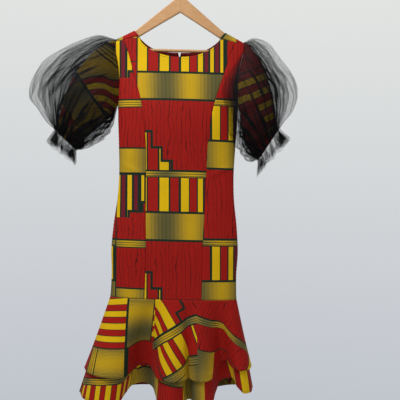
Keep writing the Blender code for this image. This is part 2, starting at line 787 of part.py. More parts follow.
def make_hanger(wood, steel):
    """Both arms, the bar between them, and a wire hook whose neck bends back over the joint."""
    make_arm("hanger_arm_left", 1.0, wood)
    make_arm("hanger_arm_right", -1.0, wood)
    bar = bmesh.new()
    bmesh.ops.create_cone(bar, cap_ends=True, segments=16, radius1=BAR_RADIUS * MM,
                          radius2=BAR_RADIUS * MM, depth=2 * BAR_HALF * MM)
    rod = place_bmesh("hanger_bar", bar, wood)
    rod.rotation_euler = (0.0, np.pi / 2, 0.0)
    rod.location = (0.0, 0.0, -BAR_DROP * MM)
    radius = HOOK_INNER + WIRE_RADIUS
    bend = np.radians(np.linspace(HOOK_TIP_ANGLE, HOOK_END_ANGLE, 17))
    arc = np.stack([radius * np.cos(bend), HOOK_INNER - radius * np.sin(bend)], axis=-1)
    heading = np.array([np.sin(bend[-1]), np.cos(bend[-1])])
    ends = np.array([arc[-1], arc[-1] + HOOK_BEND * heading,
                     (0.0, HOOK_NECK - HOOK_BEND), (0.0, HOOK_NECK)])
    t = np.linspace(0, 1, 6)[1:, None]
    neck = ((1 - t) ** 3 * ends[0] + 3 * t * (1 - t) ** 2 * ends[1]
            + 3 * t * t * (1 - t) * ends[2] + t ** 3 * ends[3])
    route = np.vstack([arc, neck, [(0.0, ARM_TOP - HALF_GAP)]])
    wire = bpy.data.curves.new("hanger_hook", "CURVE")
    wire.dimensions = "3D"
    wire.bevel_depth = WIRE_RADIUS * MM
    wire.bevel_resolution = 2
    wire.use_fill_caps = True
    spline = wire.splines.new("POLY")
    spline.points.add(len(route) - 1)
    for point, (x, drop) in zip(spline.points, route):
        point.co = (x * MM, 0.0, -drop * MM, 1.0)
    wire.materials.append(steel)
    hook = bpy.data.objects.new("hanger_hook", wire)
    bpy.context.scene.collection.objects.link(hook)


def main():
    for old in list(bpy.data.objects):
        bpy.data.objects.remove(old, do_unlink=True)
    cotton = material("print_cotton", (0.46, 0.03, 0.025), 0.75)
    net = material("black_net", (0.012, 0.012, 0.014), 0.6)
    wood = material("beech", (0.72, 0.47, 0.26), 0.45)
    steel = material("hook_steel", (0.62, 0.62, 0.6), 0.25, 1.0)
    brass = material("zip_metal", (0.55, 0.42, 0.18), 0.35, 1.0)
    tape = material("zip_tape", (0.02, 0.03, 0.03), 0.8)
    make_front_centre(cotton)
    for name, sign in (("left", 1.0), ("right", -1.0)):
        make_front_side("front_side_" + name, sign, cotton)
        make_back_centre("back_centre_" + name, sign, cotton)
        make_back_side("back_side_" + name, sign, cotton)
    for name, sign, net_rows, print_rows in (
            ("left", 1.0, NET_LEFT, PRINT_LEFT), ("right", -1.0, NET_RIGHT, PRINT_RIGHT)):
        make_sleeve("sleeve_" + name, sign, print_rows, PRINT_STATIONS, 0.0, COTTON, cotton)
        make_sleeve("net_sleeve_" + name, sign, net_rows, NET_STATIONS, NET_OUTWARD, NET, net)
    upper = np.linspace(0, UPPER_LENGTH, TIER_ROWS)
    lower = np.append(upper, [(UPPER_LENGTH + LOWER_LENGTH) / 2, LOWER_LENGTH])
    for name, rows, facing, steps in (
            ("front", FRONT_HEM, FRONT, FRONT_HEM_STEPS), ("back", BACK_HEM, BACK, BACK_HEM_STEPS)):
        make_flounce("flounce_upper_" + name, rows, facing, steps, upper, False, cotton)
        make_flounce("flounce_lower_" + name, rows, facing, steps, lower, True, cotton)
    make_zip_tape(tape)
    make_zip_pull(brass)
    make_hanger(wood, steel)


main()
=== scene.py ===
"""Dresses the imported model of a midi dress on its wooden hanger: cloth, print, net, wood and metal.

World frame: metres, +Z up, the dress's front faces -Y and the wearer's left is at +X. The garment's
own sizes are in millimetres. "drop" is the distance below the hook's resting point, "x" the distance
from the centre line and "depth" the distance from the hanger's plane.
"""

from collections import namedtuple

import bmesh
import bpy
import numpy as np
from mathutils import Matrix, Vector


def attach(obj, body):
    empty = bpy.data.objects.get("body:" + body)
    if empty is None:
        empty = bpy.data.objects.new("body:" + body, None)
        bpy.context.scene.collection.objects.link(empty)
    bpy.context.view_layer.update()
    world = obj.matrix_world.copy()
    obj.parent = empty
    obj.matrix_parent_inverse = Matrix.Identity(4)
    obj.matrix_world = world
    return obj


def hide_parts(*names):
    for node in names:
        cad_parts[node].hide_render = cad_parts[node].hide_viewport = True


bl_info = {
    "name": "Hung Wax-Print Dress",
    "version": (1, 0, 0),
    "blender": (4, 5, 0),
    "location": "View3D > Sidebar > Dress",
    "description": "Builds the cloth, net and hanger of a hung dress around its packed model",
    "category": "Object",
}

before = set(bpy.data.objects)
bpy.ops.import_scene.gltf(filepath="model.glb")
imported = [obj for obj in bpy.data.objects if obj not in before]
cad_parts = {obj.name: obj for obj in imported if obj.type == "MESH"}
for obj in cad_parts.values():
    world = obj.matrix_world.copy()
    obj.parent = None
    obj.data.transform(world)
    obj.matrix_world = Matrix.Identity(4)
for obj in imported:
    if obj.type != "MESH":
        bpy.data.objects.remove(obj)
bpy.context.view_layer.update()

MM = 0.001
UPRIGHT = np.array([0.0, 0.0, 1.0])
FRONT = -1.0
BACK = 1.0
DRESS = "dress"


def paint(red, green, blue):
    """A screen colour, 0 to 255, as the linear colour that a shader takes."""
    share = np.array([red, green, blue]) / 255.0
    linear = np.where(share <= 0.04045, share / 12.92, ((share + 0.055) / 1.055) ** 2.4)
    return tuple(float(value) for value in linear)


def table(columns, *rows):
    """Rows of values under named columns."""
    row = namedtuple("Row", columns)
    return [row(*values) for values in rows]


def column(rows, name):
    """One named column of a table as an array."""
    return np.array([getattr(row, name) for row in rows], dtype=float)


# The garment's own sizes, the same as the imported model's
UNDERARM = 433.0
FLOUNCE_SEAM = 1030.0
SEAM_GAP = 0.36
HALF_GAP = SEAM_GAP / 2
NECK_HALF = 142.0
NECK_DROP = 191.5
SHOULDER_SLOPE = 0.515
SHOULDER_ROUND = 14.0
SHOULDER_HALF = 201.0
FRONT_SEAM_NECK = 127.0
FRONT_SEAM_DROP = 212.0
FRONT_SEAM_SLOPE = 0.255
FRONT_NECK_DEPTH = 63.0
FRONT_NECK_POWER = 0.6
BACK_NECK_DROP = 254.0
BACK_NECK_POWER = 3.3
HIGHEST = 150.0
UNDER_RIDGE = 6.0
FOLDS_END = 12.0

BODY = table(
    "drop half_width front back",
    (150, 272, 16, 16), (190, 264, 16, 16), (225, 256, 16, 16), (275, 240, 18, 17),
    (330, 220, 25, 19), (380, 204, 34, 22), (433, 190.5, 40, 25), (480, 188, 40, 25),
    (558, 184, 34, 24), (640, 181, 29, 26), (715, 184, 31, 30), (797, 194, 35, 35),
    (882, 200, 39, 38), (955, 197, 38, 36), (1030, 199, 42, 38))
PRINCESS = table(
    "drop x",
    (150, 189), (191, 187), (219, 180), (250, 165), (303, 148), (345, 135), (405, 117),
    (472, 104), (555, 96), (640, 94), (790, 90.5), (855, 88), (1030, 88))
ARMHOLE = table(
    "drop x", (150, 201), (253, 201), (303, 190), (350, 184.5), (400, 186), (433, 190.5))

# Rings down each sleeve to its cuff: the outer and the inner fold, and half the depth between them
RING = "outer_x outer_drop inner_x inner_drop depth"
NET_RIGHT = table(
    RING, (261, 211, 197, 462, 46), (345, 245, 203, 487, 64), (416, 290, 213, 508, 74),
    (458, 355, 228, 527, 76), (467, 408, 250, 545, 70), (440, 447, 278, 560, 58),
    (409, 489, 303, 569, 42), (385, 510, 320, 570, 27), (393, 553, 330, 603, 38))
NET_LEFT = table(
    RING, (236, 208, 195, 470, 46), (284, 228, 194, 505, 62), (330, 288, 194, 535, 72),
    (364, 333, 198, 556, 74), (374, 385, 207, 574, 68), (361, 433, 219, 589, 56),
    (338, 465, 238, 594, 42), (320, 492, 256, 588, 29), (341, 530, 262, 624, 38))
PRINT_RIGHT = table(
    RING, (224, 232, 199, 444, 21), (276, 268, 211, 463, 31), (330, 340, 234, 486, 37),
    (362, 420, 272, 518, 30), (379, 516, 327, 563, 19))
PRINT_LEFT = table(
    RING, (218, 230, 198, 448, 23), (252, 276, 202, 482, 36), (285, 350, 209, 520, 36),
    (304, 420, 224, 552, 31), (310, 503, 265, 578, 20))
SLEEVE_GAP = 0.7
CUFF_STATION = 8.0

# The longer tier's hem from side seam to side seam, a row for each turn of its flutes
HEM = "x depth drop"
FRONT_HEM = table(
    HEM, (-294, 0, 1330), (-268, -58, 1336), (-208, -86, 1342), (-154, -66, 1344),
    (-134, -14, 1328), (-118, 24, 1316), (-92, 36, 1312), (-70, 20, 1316), (-54, -22, 1330),
    (-42, -66, 1344), (3, -94, 1350), (45, -68, 1348), (57, -30, 1340), (70, -66, 1346),
    (104, -88, 1348), (134, -58, 1340), (147, -14, 1316), (163, 14, 1290), (184, 8, 1282),
    (200, -30, 1298), (222, -58, 1308), (250, -44, 1308), (262, 0, 1304))
BACK_HEM = table(
    HEM, (-294, 0, 1330), (-262, 50, 1334), (-214, 44, 1326), (-164, 76, 1336),
    (-112, 60, 1322), (-66, 58, 1320), (-20, 82, 1334), (36, 50, 1322), (88, 80, 1336),
    (140, 44, 1318), (196, 66, 1316), (242, 36, 1308), (262, 0, 1304))
LOWER_LENGTH = 330.0
UPPER_LENGTH = 250.0
TIER_INWARD = 1.66
TIER_GAP = 1.4
TIER_LAG = 3.0
TIER_FLARE = 5.0

ZIP_TOP = 273.0
ZIP_END = 790.0
NECK_OPENING = 4.0

# The print: upright columns side by side, in five kinds. Each kind has its own stretches down one
# repeat and its own stripes across, in millimetres of the cloth, with dark lines left between them.
REPEAT = 436.0
COLUMN = 280.0
BAND, EDGE, STRIPES, SHADED, RED = range(5)
SECTION_SCALE = 8
STRETCH = "start end shows"
STRIPE = "start end colour"
STEP = "start level"
GRADED_STRETCHES = table(
    STRETCH, (0, 17, BAND), (19, 123, STRIPES), (131, 210, SHADED), (217, 431, RED))
GRADED_STRIPES = table(
    STRIPE, (0, 30, "yellow"), (35, 65, "red"), (71, 99, "yellow"), (105, 130, "red"),
    (137, 161, "yellow"), (165, 185, "red"), (190, 205, "yellow"), (211, 221, "plum"),
    (228, 239, "yellow"), (243, 255, "plum"), (260, 268, "yellow"))
GRADED_STAIR = table(STEP, (0, 310), (46, 359), (77, 400), (109, 431))
NARROW_STRETCHES = table(
    STRETCH, (0, 20, BAND), (23, 145, RED), (150, 224, SHADED), (233, 366, STRIPES),
    (366, 431, RED))
NARROW_STRIPES = table(
    STRIPE, (0, 13, "yellow"), (18, 30, "plum"), (38, 52, "yellow"), (60, 71, "plum"),
    (83, 91, "yellow"), (104, 124, "red"), (129, 151, "yellow"), (156, 182, "red"),
    (187, 212, "yellow"), (217, 246, "red"), (251, 275, "yellow"))
NARROW_STAIR = table(STEP, (0, 366), (42, 342), (86, 313))
SLANTED_STRETCHES = table(
    STRETCH, (0, 21, BAND), (24, 112, STRIPES), (116, 140, BAND), (143, 210, SHADED),
    (217, 430, STRIPES))
SLANTED_STRIPES = table(
    STRIPE, (0, 13, "red"), (15, 33, "yellow"), (35, 47, "red"), (49, 67, "yellow"),
    (69, 86, "red"), (88, 116, "yellow"), (119, 165, "red"), (168, 174, "yellow"),
    (177, COLUMN, "red"))
SLANTED_STAIR = table(STEP, (0, 430), (137, 396), (167, 217))
EVEN_STRETCHES = table(
    STRETCH, (0, 17, BAND), (19, 123, STRIPES), (131, 210, SHADED), (214, 300, STRIPES),
    (300, 431, RED))
EVEN_STRIPE = 20.0
EVEN_LINE = 2.0
EVEN_STRIPES = table(STRIPE, *(
    (k * EVEN_STRIPE, (k + 1) * EVEN_STRIPE - EVEN_LINE, "yellow" if k % 2 else "red")
    for k in range(int(COLUMN / EVEN_STRIPE))))
CONE_STRETCHES = table(STRETCH, (0, 19, BAND), (22, 92, RED), (96, 215, SHADED), (219, 431, RED))
CONE = 4
CONE_END = 141 / COLUMN
# Below its stair, what a column was turns into something else. The stair goes down to the right
# where side is 1, and down to the left where it is -1.
KINDS = table(
    "stretches stripes shift stair side was becomes",
    (GRADED_STRETCHES, GRADED_STRIPES, 0, GRADED_STAIR, 1, RED, STRIPES),
    (NARROW_STRETCHES, NARROW_STRIPES, 0, NARROW_STAIR, -1, STRIPES, RED),
    (SLANTED_STRETCHES, SLANTED_STRIPES, 0, SLANTED_STAIR, -1, STRIPES, RED),
    (EVEN_STRETCHES, EVEN_STRIPES, 87, None, 0, None, None),
    (CONE_STRETCHES, GRADED_STRIPES, 0, None, 0, None, None))
EDGE_HALF = 3.8
SIDE_HALF = 2.0
TREAD = 8.0
VEIN_PITCH = 13.0
SHADE_WAVE = 157.0
HATCH_PITCH = 4.2
BAND_LINES = 7.0
THREADS = 1400.0
BUMP_DEPTH = 0.0005


def smooth(at, knots, values):
    """A cubic through the knots, whose slope at each knot comes from its two neighbours."""
    slopes = np.gradient(values, knots, axis=0)
    at = np.clip(at, knots[0], knots[-1])
    left = np.clip(np.searchsorted(knots, at, side="right") - 1, 0, len(knots) - 2)
    step = knots[left + 1] - knots[left]
    t = (at - knots[left]) / step
    if np.ndim(values) > 1:
        extra = (1,) * (np.ndim(values) - 1)
        t = t.reshape(t.shape + extra)
        step = step.reshape(step.shape + extra)
    low = (1 + 2 * t) * (1 - t) ** 2 * values[left] + t * (1 - t) ** 2 * step * slopes[left]
    high = t * t * (3 - 2 * t) * values[left + 1] + t * t * (t - 1) * step * slopes[left + 1]
    return low + high


def half_width(drop):
    return smooth(drop, column(BODY, "drop"), column(BODY, "half_width"))


def princess_x(drop):
    return smooth(drop, column(PRINCESS, "drop"), column(PRINCESS, "x"))


def side_x(drop):
    """The armhole's edge, and the side seam under it."""
    armhole = np.interp(drop, column(ARMHOLE, "drop"), column(ARMHOLE, "x"))
    return np.where(drop < UNDERARM, armhole, half_width(drop))


def ridge_drop(x):
    """The top of the shoulder, a straight slope from the neck to the tip."""
    return NECK_DROP + (np.abs(x) - NECK_HALF) * SHOULDER_SLOPE


def round_top(x):
    return ridge_drop(x) + SHOULDER_ROUND


def front_seam_drop(x):
    """The shoulder seam, which lies a little in front of the ridge."""
    return FRONT_SEAM_DROP + (np.abs(x) - FRONT_SEAM_NECK) * FRONT_SEAM_SLOPE


def front_top(x):
    """The front neckline, and beyond it the shoulder seam."""
    rise = np.clip(1 - (x / FRONT_SEAM_NECK) ** 2, 0, 1) ** FRONT_NECK_POWER
    neck = FRONT_SEAM_DROP + FRONT_NECK_DEPTH * rise
    return np.where(np.abs(x) < FRONT_SEAM_NECK, neck, front_seam_drop(x) + HALF_GAP)


def back_top(x):
    """The back neckline, and beyond it the level where the shoulder starts to round over."""
    rise = (np.abs(x) / NECK_HALF) ** BACK_NECK_POWER
    neck = BACK_NECK_DROP - (BACK_NECK_DROP - NECK_DROP) * rise
    return np.where(np.abs(x) < NECK_HALF, neck, round_top(x))


def body_depth(x, drop, facing):
    """How far the cloth stands from the hanger's plane: an ellipse across, rounded off at the ridge."""
    knots = column(BODY, "drop")
    front = smooth(drop, knots, column(BODY, "front"))
    back = smooth(drop, knots, column(BODY, "back"))
    deep = np.where(facing < 0, front, back)
    across = np.sqrt(np.clip(1 - (x / half_width(drop)) ** 2, 0, 1))
    below = np.clip((drop - ridge_drop(x)) / SHOULDER_ROUND, 0, 1)
    return deep * across * np.sqrt(1 - (1 - below) ** 2)


def body_points(x, drop, facing):
    """Places on the cloth's outside, in millimetres: x, depth and height."""
    x, drop, facing = np.broadcast_arrays(x, drop, facing)
    return np.stack([x, facing * body_depth(x, drop, facing), -drop], axis=-1)


def run_across(x, drop, facing):
    """Length along the cloth from the centre line to x, by adding up 32 short chords."""
    share = np.linspace(0, 1, 33)
    across = x[..., None] * share
    deep = body_depth(across, drop[..., None] + 0 * across, facing)
    return np.sign(x) * np.hypot(np.diff(across), np.diff(deep)).sum(axis=-1)


def between(low_edge, high_edge, share, drop):
    """x of a column, a share of the way round the body's section from one edge to the other."""
    width = half_width(drop)
    low = np.arcsin(np.clip(low_edge(drop) / width, -1, 1))
    high = np.arcsin(np.clip(high_edge(drop) / width, -1, 1))
    return width * np.sin(low + (high - low) * share)


HALVINGS = 40


def column_top(x_at, edge):
    """Where each column, going up, meets an edge that is given as a drop for each x."""
    high = np.full(x_at(UNDERARM).shape, HIGHEST)
    low = np.full(high.shape, UNDERARM)
    for _ in range(HALVINGS):
        middle = (high + low) / 2
        under = middle > edge(x_at(middle))
        low = np.where(under, middle, low)
        high = np.where(under, high, middle)
    return (high + low) / 2


def unit(directions):
    """The same directions, each of length 1."""
    return directions / np.maximum(np.linalg.norm(directions, axis=-1, keepdims=True), 1e-9)


def run_along(path):
    """Length from the start of a path to each of its points."""
    return np.concatenate([[0], np.cumsum(np.linalg.norm(np.diff(path, axis=0), axis=-1))])


def run_down(grid):
    """Length down each column of a grid, from its first row."""
    steps = np.linalg.norm(np.diff(grid, axis=0), axis=-1)
    return np.vstack([np.zeros(steps.shape[1]), np.cumsum(steps, axis=0)])


def turned(grid, closed=False):
    """Unit normals of a grid: the cross product of its two directions."""
    if closed:
        along = (np.roll(grid, -1, axis=1) - np.roll(grid, 1, axis=1)) / 2
    else:
        along = np.gradient(grid, axis=1)
    return unit(np.cross(along, np.gradient(grid, axis=0)))


def outwards(grid, hollow):
    """The grid's unit normals, turned away from the hollow that it encloses."""
    normal = turned(grid)
    return normal if np.sum(normal * (grid - hollow)) > 0 else -normal


Patch = namedtuple("Patch", "grid print closed hollow")


def add_object(name, data):
    """Puts a new object in the scene."""
    made = bpy.data.objects.new(name, data)
    bpy.context.scene.collection.objects.link(made)
    return made


def cells(values, order):
    """The values at the four corners of each cell of a grid."""
    rows, columns = values.shape[0] - 1, values.shape[1] - 1
    return np.stack([values[r:rows + r, c:columns + c] for r, c in order], axis=2)


def cloth_mesh(name, patches, finish):
    """One mesh from grids in millimetres, with a UV map of the print's own millimetres as metres."""
    corners, places, uvs = [], [], []
    count = 0
    for patch in patches:
        rows, columns = patch.grid.shape[:2]
        number = np.arange(rows * columns).reshape(rows, columns) + count
        if patch.closed:
            number = np.hstack([number, number[:, :1]])
        order = [(0, 0), (0, 1), (1, 1), (1, 0)]
        if np.sum(turned(patch.grid, patch.closed) * (patch.grid - patch.hollow)) < 0:
            order = order[::-1]
        corners.append(cells(number, order).reshape(-1, 4))
        uvs.append(cells(patch.print, order).reshape(-1, 2))
        places.append(patch.grid.reshape(-1, 3))
        count += rows * columns
    mesh = bpy.data.meshes.new(name)
    mesh.from_pydata((np.vstack(places) * MM).tolist(), [], np.vstack(corners).tolist())
    layer = mesh.uv_layers.new(name="print")
    layer.uv.foreach_set("vector", (np.vstack(uvs) * MM).astype(np.float32).ravel())
    for made in finish:
        mesh.materials.append(made)
    if len(patches) > 1:
        weld(mesh)
    mesh.shade_smooth()
    return add_object(name, mesh)


def weld(mesh):
    """Joins the points that two grids share."""
    shape = bmesh.new()
    shape.from_mesh(mesh)
    bmesh.ops.remove_doubles(shape, verts=shape.verts, dist=2e-6)
    shape.to_mesh(mesh)
    shape.free()


def thicken(cloth, thickness):
    """Gives a shell its wall, inwards."""
    wall = cloth.modifiers.new("wall", "SOLIDIFY")
    wall.thickness = thickness
    wall.offset = -1.0
    wall.use_even_offset = False
    wall.use_rim = True
    # The inner wall takes the last material: for cotton, the print darkened as painted shade
    wall.material_offset = len(cloth.data.materials) - 1
    return cloth


# Folds pressed or pulled into the body: a segment, its half width and its height at the middle
FOLD = "x drop end_x end_drop width height"
FRONT_FOLDS = table(
    FOLD, (-178, 600, -100, 640, 9, 2.2), (178, 610, 96, 650, 9, 2.2), (-60, 668, 70, 660, 14, 1.2))
BACK_FOLDS = table(FOLD, (-150, 610, -20, 650, 12, 2.5), (150, 600, 20, 640, 12, 2.5))


def fold_height(folds, x, drop):
    """Sum of soft ridges: a Gaussian across each segment, tapering to nothing at both of its ends."""
    height = np.zeros(np.broadcast(x, drop).shape)
    for fold in folds:
        along = np.array([fold.end_x - fold.x, fold.end_drop - fold.drop], dtype=float)
        length = np.hypot(*along)
        along /= length
        t = ((x - fold.x) * along[0] + (drop - fold.drop) * along[1]) / length
        off = (x - fold.x) * along[1] - (drop - fold.drop) * along[0]
        taper = np.clip(4 * t * (1 - t), 0, 1)
        height = height + fold.height * taper * np.exp(-(off / fold.width) ** 2)
    return height


SEAM_DEEP = 0.9
SEAM_WIDE = 1.6
PUCKER_HEIGHT = 0.35
PUCKER_REACH = 7.0
PUCKER_RATE = 0.62
PUCKER_DRIFT = 0.051


def seam_dip(distance, drop):
    """Cloth near a seam: pulled in beside it, with short puckers across it that die away."""
    dip = -SEAM_DEEP * np.exp(-(distance / SEAM_WIDE) ** 2)
    wave = np.sin(drop * PUCKER_RATE + 2.0 * np.sin(drop * PUCKER_DRIFT))
    return dip + PUCKER_HEIGHT * wave * np.exp(-distance / PUCKER_REACH)


def panel_levels(top, rows):
    """Levels from each column's top to the flounce seam."""
    bottom = FLOUNCE_SEAM - HALF_GAP
    return top + (bottom - top) * np.linspace(0, 1, rows)[:, None]


def rounded_body(x, drop, facing, gaps):
    """The cloth's outside with its folds and seam dips. Each gap is the distance to a seam."""
    grid = body_points(x, drop, facing)
    height = fold_height(FRONT_FOLDS if facing < 0 else BACK_FOLDS, x, drop)
    for gap in gaps:
        height = height + seam_dip(gap, drop)
    ends = np.clip((FLOUNCE_SEAM - drop) / FOLDS_END, 0, 1)
    return grid + outwards(grid, grid * UPRIGHT) * (height * ends)[..., None]


def body_patch(low_edge, high_edge, edge, facing, sign, columns, rows, shift):
    """One panel of the body between two upright edges, under a top edge."""
    share = np.linspace(0, 1, columns)
    top = column_top(lambda drop: between(low_edge, high_edge, share, drop), edge)
    drop = panel_levels(top, rows)
    x = between(low_edge, high_edge, share, drop)
    gaps = np.abs(x - low_edge(drop)), np.abs(high_edge(drop) - x)
    grid = rounded_body(x, drop, facing, gaps) * np.array([sign, 1.0, 1.0])
    across = sign * run_across(x, drop, facing) - GRAIN_LEAN * (drop - GRAIN_LEVEL)
    cut = np.stack([across + shift.across, drop - shift.down], axis=-1)
    return Patch(grid, cut, False, grid * UPRIGHT), x, top


def shoulder_patch(body, x, top, first, inner_x, sign, rows):
    """A back panel's stretch over the shoulder, from its first shoulder column outwards.

    Each column runs from the top of the main patch up to the ridge and down to the seam in front.
    Its steps shrink towards the ridge, where the round is tightest.
    """
    ridge_x, start_drop = x[0, first:], top[first:]
    share = np.linspace(1, 0, rows)[:, None] ** 2
    behind_drop = ridge_drop(ridge_x) + (start_drop - ridge_drop(ridge_x)) * share
    behind = body_points(ridge_x + 0 * share, behind_drop, BACK)
    outer = ridge_x[-1]
    seam_x = inner_x + (outer - inner_x) * (ridge_x - ridge_x[0]) / max(outer - ridge_x[0], 1e-6)
    share = np.linspace(0, 1, rows)[1:, None] ** 2
    ahead_x = ridge_x + (seam_x - ridge_x) * share
    ridge = ridge_drop(ahead_x)
    ahead_drop = ridge + (front_seam_drop(ahead_x) - HALF_GAP - ridge) * share
    ahead = body_points(ahead_x, ahead_drop, FRONT)
    grid = np.vstack([behind, ahead]) * np.array([sign, 1.0, 1.0])
    grid[0] = body.grid[0, first:]
    up = run_down(grid)
    start = body.print[0, first:]
    cut = np.stack([start[:, 0] + 0 * up, start[:, 1] - up], axis=-1)
    hollow = grid * np.array([1.0, 0.0, 1.0]) - UNDER_RIDGE * UPRIGHT
    return Patch(grid, cut, False, hollow)


# A piece's flat cut: its width, its length and its area
Cut = namedtuple("Cut", "width length area")


def flat_of(patches):
    """The flat cut of a piece: the box round its print map, and the cloth's own area."""
    area = 0.0
    places = np.vstack([patch.print.reshape(-1, 2) for patch in patches])
    for patch in patches:
        grid = patch.grid
        if patch.closed:
            grid = np.concatenate([grid, grid[:, :1]], axis=1)
        one = np.cross(grid[1:, :-1] - grid[:-1, :-1], grid[:-1, 1:] - grid[:-1, :-1])
        two = np.cross(grid[1:, 1:] - grid[1:, :-1], grid[1:, 1:] - grid[:-1, 1:])
        area += (np.linalg.norm(one, axis=-1).sum() + np.linalg.norm(two, axis=-1).sum()) / 2
    width, length = (places.max(axis=0) - places.min(axis=0)) * MM
    return Cut(float(width), float(length), float(area) * MM * MM)


def hang(node, patches, finish=None,
         cut=None):
    """Makes a piece of cloth in place of its solid, and works out its cut, which is not used further.
    Cotton gets its wall.
    """
    cloth = cloth_mesh(node + "_cloth", patches, finish or cotton())
    if finish is None:
        thicken(cloth, settings().cloth.cotton)
    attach(cloth, DRESS)
    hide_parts(node)
    cut = cut or flat_of(patches)


class Maker:
    """Adds shader nodes to one tree, each made from the values that feed it."""

    def __init__(self, tree):
        self.tree = tree
        self.count = 0

    def node(self, kind, inputs=(), **settings):
        made = self.tree.nodes.new(kind)
        made.location = (220 * (self.count % 12), -260 * (self.count // 12))
        self.count += 1
        for name, value in settings.items():
            setattr(made, name, value)
        for socket, value in dict(inputs).items():
            self.feed(made.inputs[socket], value)
        return made

    def feed(self, socket, value):
        if isinstance(value, bpy.types.NodeSocket):
            self.tree.links.new(value, socket)
        elif socket.type == "RGBA" and len(value) == 3:
            socket.default_value = (*value, 1.0)
        else:
            socket.default_value = value

    def math(self, operation, *values):
        return self.node("ShaderNodeMath", dict(enumerate(values)), operation=operation).outputs[0]

    def add(self, first, second):
        return self.math("ADD", first, second)

    def times(self, first, second):
        return self.math("MULTIPLY", first, second)

    def scaled(self, value, factor, plus):
        return self.math("MULTIPLY_ADD", value, factor, plus)

    def fract(self, value):
        return self.math("FRACT", value)

    def sine(self, value):
        return self.math("SINE", value)

    def less(self, first, second):
        return self.math("LESS_THAN", first, second)

    def either(self, first, second):
        return self.math("MAXIMUM", first, second)

    def near(self, value, target):
        """1 where a whole number is the target, and 0 where it isn't."""
        return self.less(self.math("ABSOLUTE", self.add(value, -float(target))), 0.5)

    def choose(self, test, when_true, when_false):
        """One of two numbers, by a test that is 0 or 1."""
        part = self.times(test, self.math("SUBTRACT", when_true, when_false))
        return self.add(part, when_false)

    def mix(self, share, first, second):
        made = self.node("ShaderNodeMix", data_type="RGBA")
        for socket, value in ((0, share), (6, first), (7, second)):
            self.feed(made.inputs[socket], value)
        return made.outputs[2]

    def steps(self, value, stops):
        """A ramp of flat colours, each from its own place up to the next one's."""
        made = self.node("ShaderNodeValToRGB", {"Fac": value})
        ramp = made.color_ramp
        ramp.interpolation = "CONSTANT"
        while len(ramp.elements) < len(stops):
            ramp.elements.new(1.0)
        for element, (place, colour) in zip(ramp.elements, stops):
            element.position = place
            element.color = (*colour, 1.0)
        return made.outputs["Color"]

    def noise(self, vector, scale, detail=2.0, distortion=0.0):
        return self.node("ShaderNodeTexNoise", {
            "Vector": vector, "Scale": scale, "Detail": detail, "Roughness": 0.5,
            "Distortion": distortion}).outputs["Fac"]

    def vector(self, x, y):
        return self.node("ShaderNodeCombineXYZ", {"X": x, "Y": y}).outputs[0]

    def split(self, vector):
        return tuple(self.node("ShaderNodeSeparateXYZ", {"Vector": vector}).outputs)

    def stretched(self, vector, scale):
        return self.node("ShaderNodeMapping", {"Vector": vector, "Scale": scale}).outputs[0]

    def surface(self, inputs, height=None, strength=0.3):
        """Ends a material: its shader, an optional bump, and the output."""
        shader = self.node("ShaderNodeBsdfPrincipled", inputs)
        if height is not None:
            bump = self.node("ShaderNodeBump", {
                "Height": height, "Strength": strength, "Distance": BUMP_DEPTH})
            self.tree.links.new(bump.outputs[0], shader.inputs["Normal"])
        self.node("ShaderNodeOutputMaterial", {"Surface": shader.outputs[0]})


def new_material(name):
    made = bpy.data.materials.new(name)
    made.use_nodes = True
    made.node_tree.nodes.clear()
    return made, Maker(made.node_tree)


def solid_material(name):
    """A new material, and the places on the object itself that its look is drawn on."""
    made, maker = new_material(name)
    return made, maker, maker.node("ShaderNodeTexCoord").outputs["Object"]


def cloth_material(name):
    """A new material, and the places on the flat cut that its look is drawn on."""
    made, maker = new_material(name)
    place = maker.node("ShaderNodeUVMap", uv_map="print").outputs[0]
    across, down, _ = maker.split(place)
    return made, maker, place, across, down


def grey(value):
    return (value, value, value)


def lined_stops(rows, whole, look, line):
    """Stops for rows side by side: each row's look, and a line where the next row starts later."""
    stops = []
    for row, after in zip(rows, [row.start for row in rows[1:]] + [whole]):
        stops.append((row.start / whole, look(row)))
        if row.end < after:
            stops.append((row.end / whole, line))
    return stops


def stair_level(maker, place, nudge, stair):
    """The stair's level beside this place, nudged across, as a share of the repeat."""
    stops = [(row.start / COLUMN, grey(row.level / REPEAT)) for row in stair]
    return maker.steps(maker.add(place, nudge / COLUMN), stops)


def column_looks(maker, place, level, kind, dyes):
    """What one kind of column shows here, as a number, and the colour of its stripes."""
    if kind.shift:
        level = maker.fract(maker.add(level, (REPEAT - kind.shift) / REPEAT))
    stops = lined_stops(kind.stretches, REPEAT, lambda row: grey(row.shows / SECTION_SCALE),
                        grey(EDGE / SECTION_SCALE))
    shown = maker.times(maker.steps(level, stops), float(SECTION_SCALE))
    if kind.stair:
        nudge = kind.side * EDGE_HALF
        before = stair_level(maker, place, -nudge, kind.stair)
        after = maker.add(stair_level(maker, place, nudge, kind.stair), TREAD / REPEAT)
        here = maker.near(shown, kind.was)
        for limit, becomes in ((before, EDGE), (after, kind.becomes)):
            under = maker.times(here, maker.math("GREATER_THAN", level, limit))
            shown = maker.choose(under, float(becomes), shown)
    stops = lined_stops(kind.stripes, COLUMN, lambda row: dyes[row.colour], dyes["green"])
    return shown, maker.steps(place, stops)


def veined_red(maker, across, down, dyes):
    """Long wandering lines down the cloth: a noise moves each line sideways, another breaks it."""
    sway = maker.noise(maker.vector(maker.times(across, 30.0), maker.times(down, 11.0)), 1.0, detail=3.0)
    course = maker.scaled(across, 1000 / VEIN_PITCH, maker.times(sway, 2.6))
    gaps = maker.noise(maker.vector(maker.times(across, 40.0), maker.times(down, 9.0)), 1.0)
    line = maker.less(maker.fract(course), maker.scaled(gaps, 0.34, -0.06))
    return maker.mix(maker.times(line, 0.72), dyes["red"], dyes["black"])


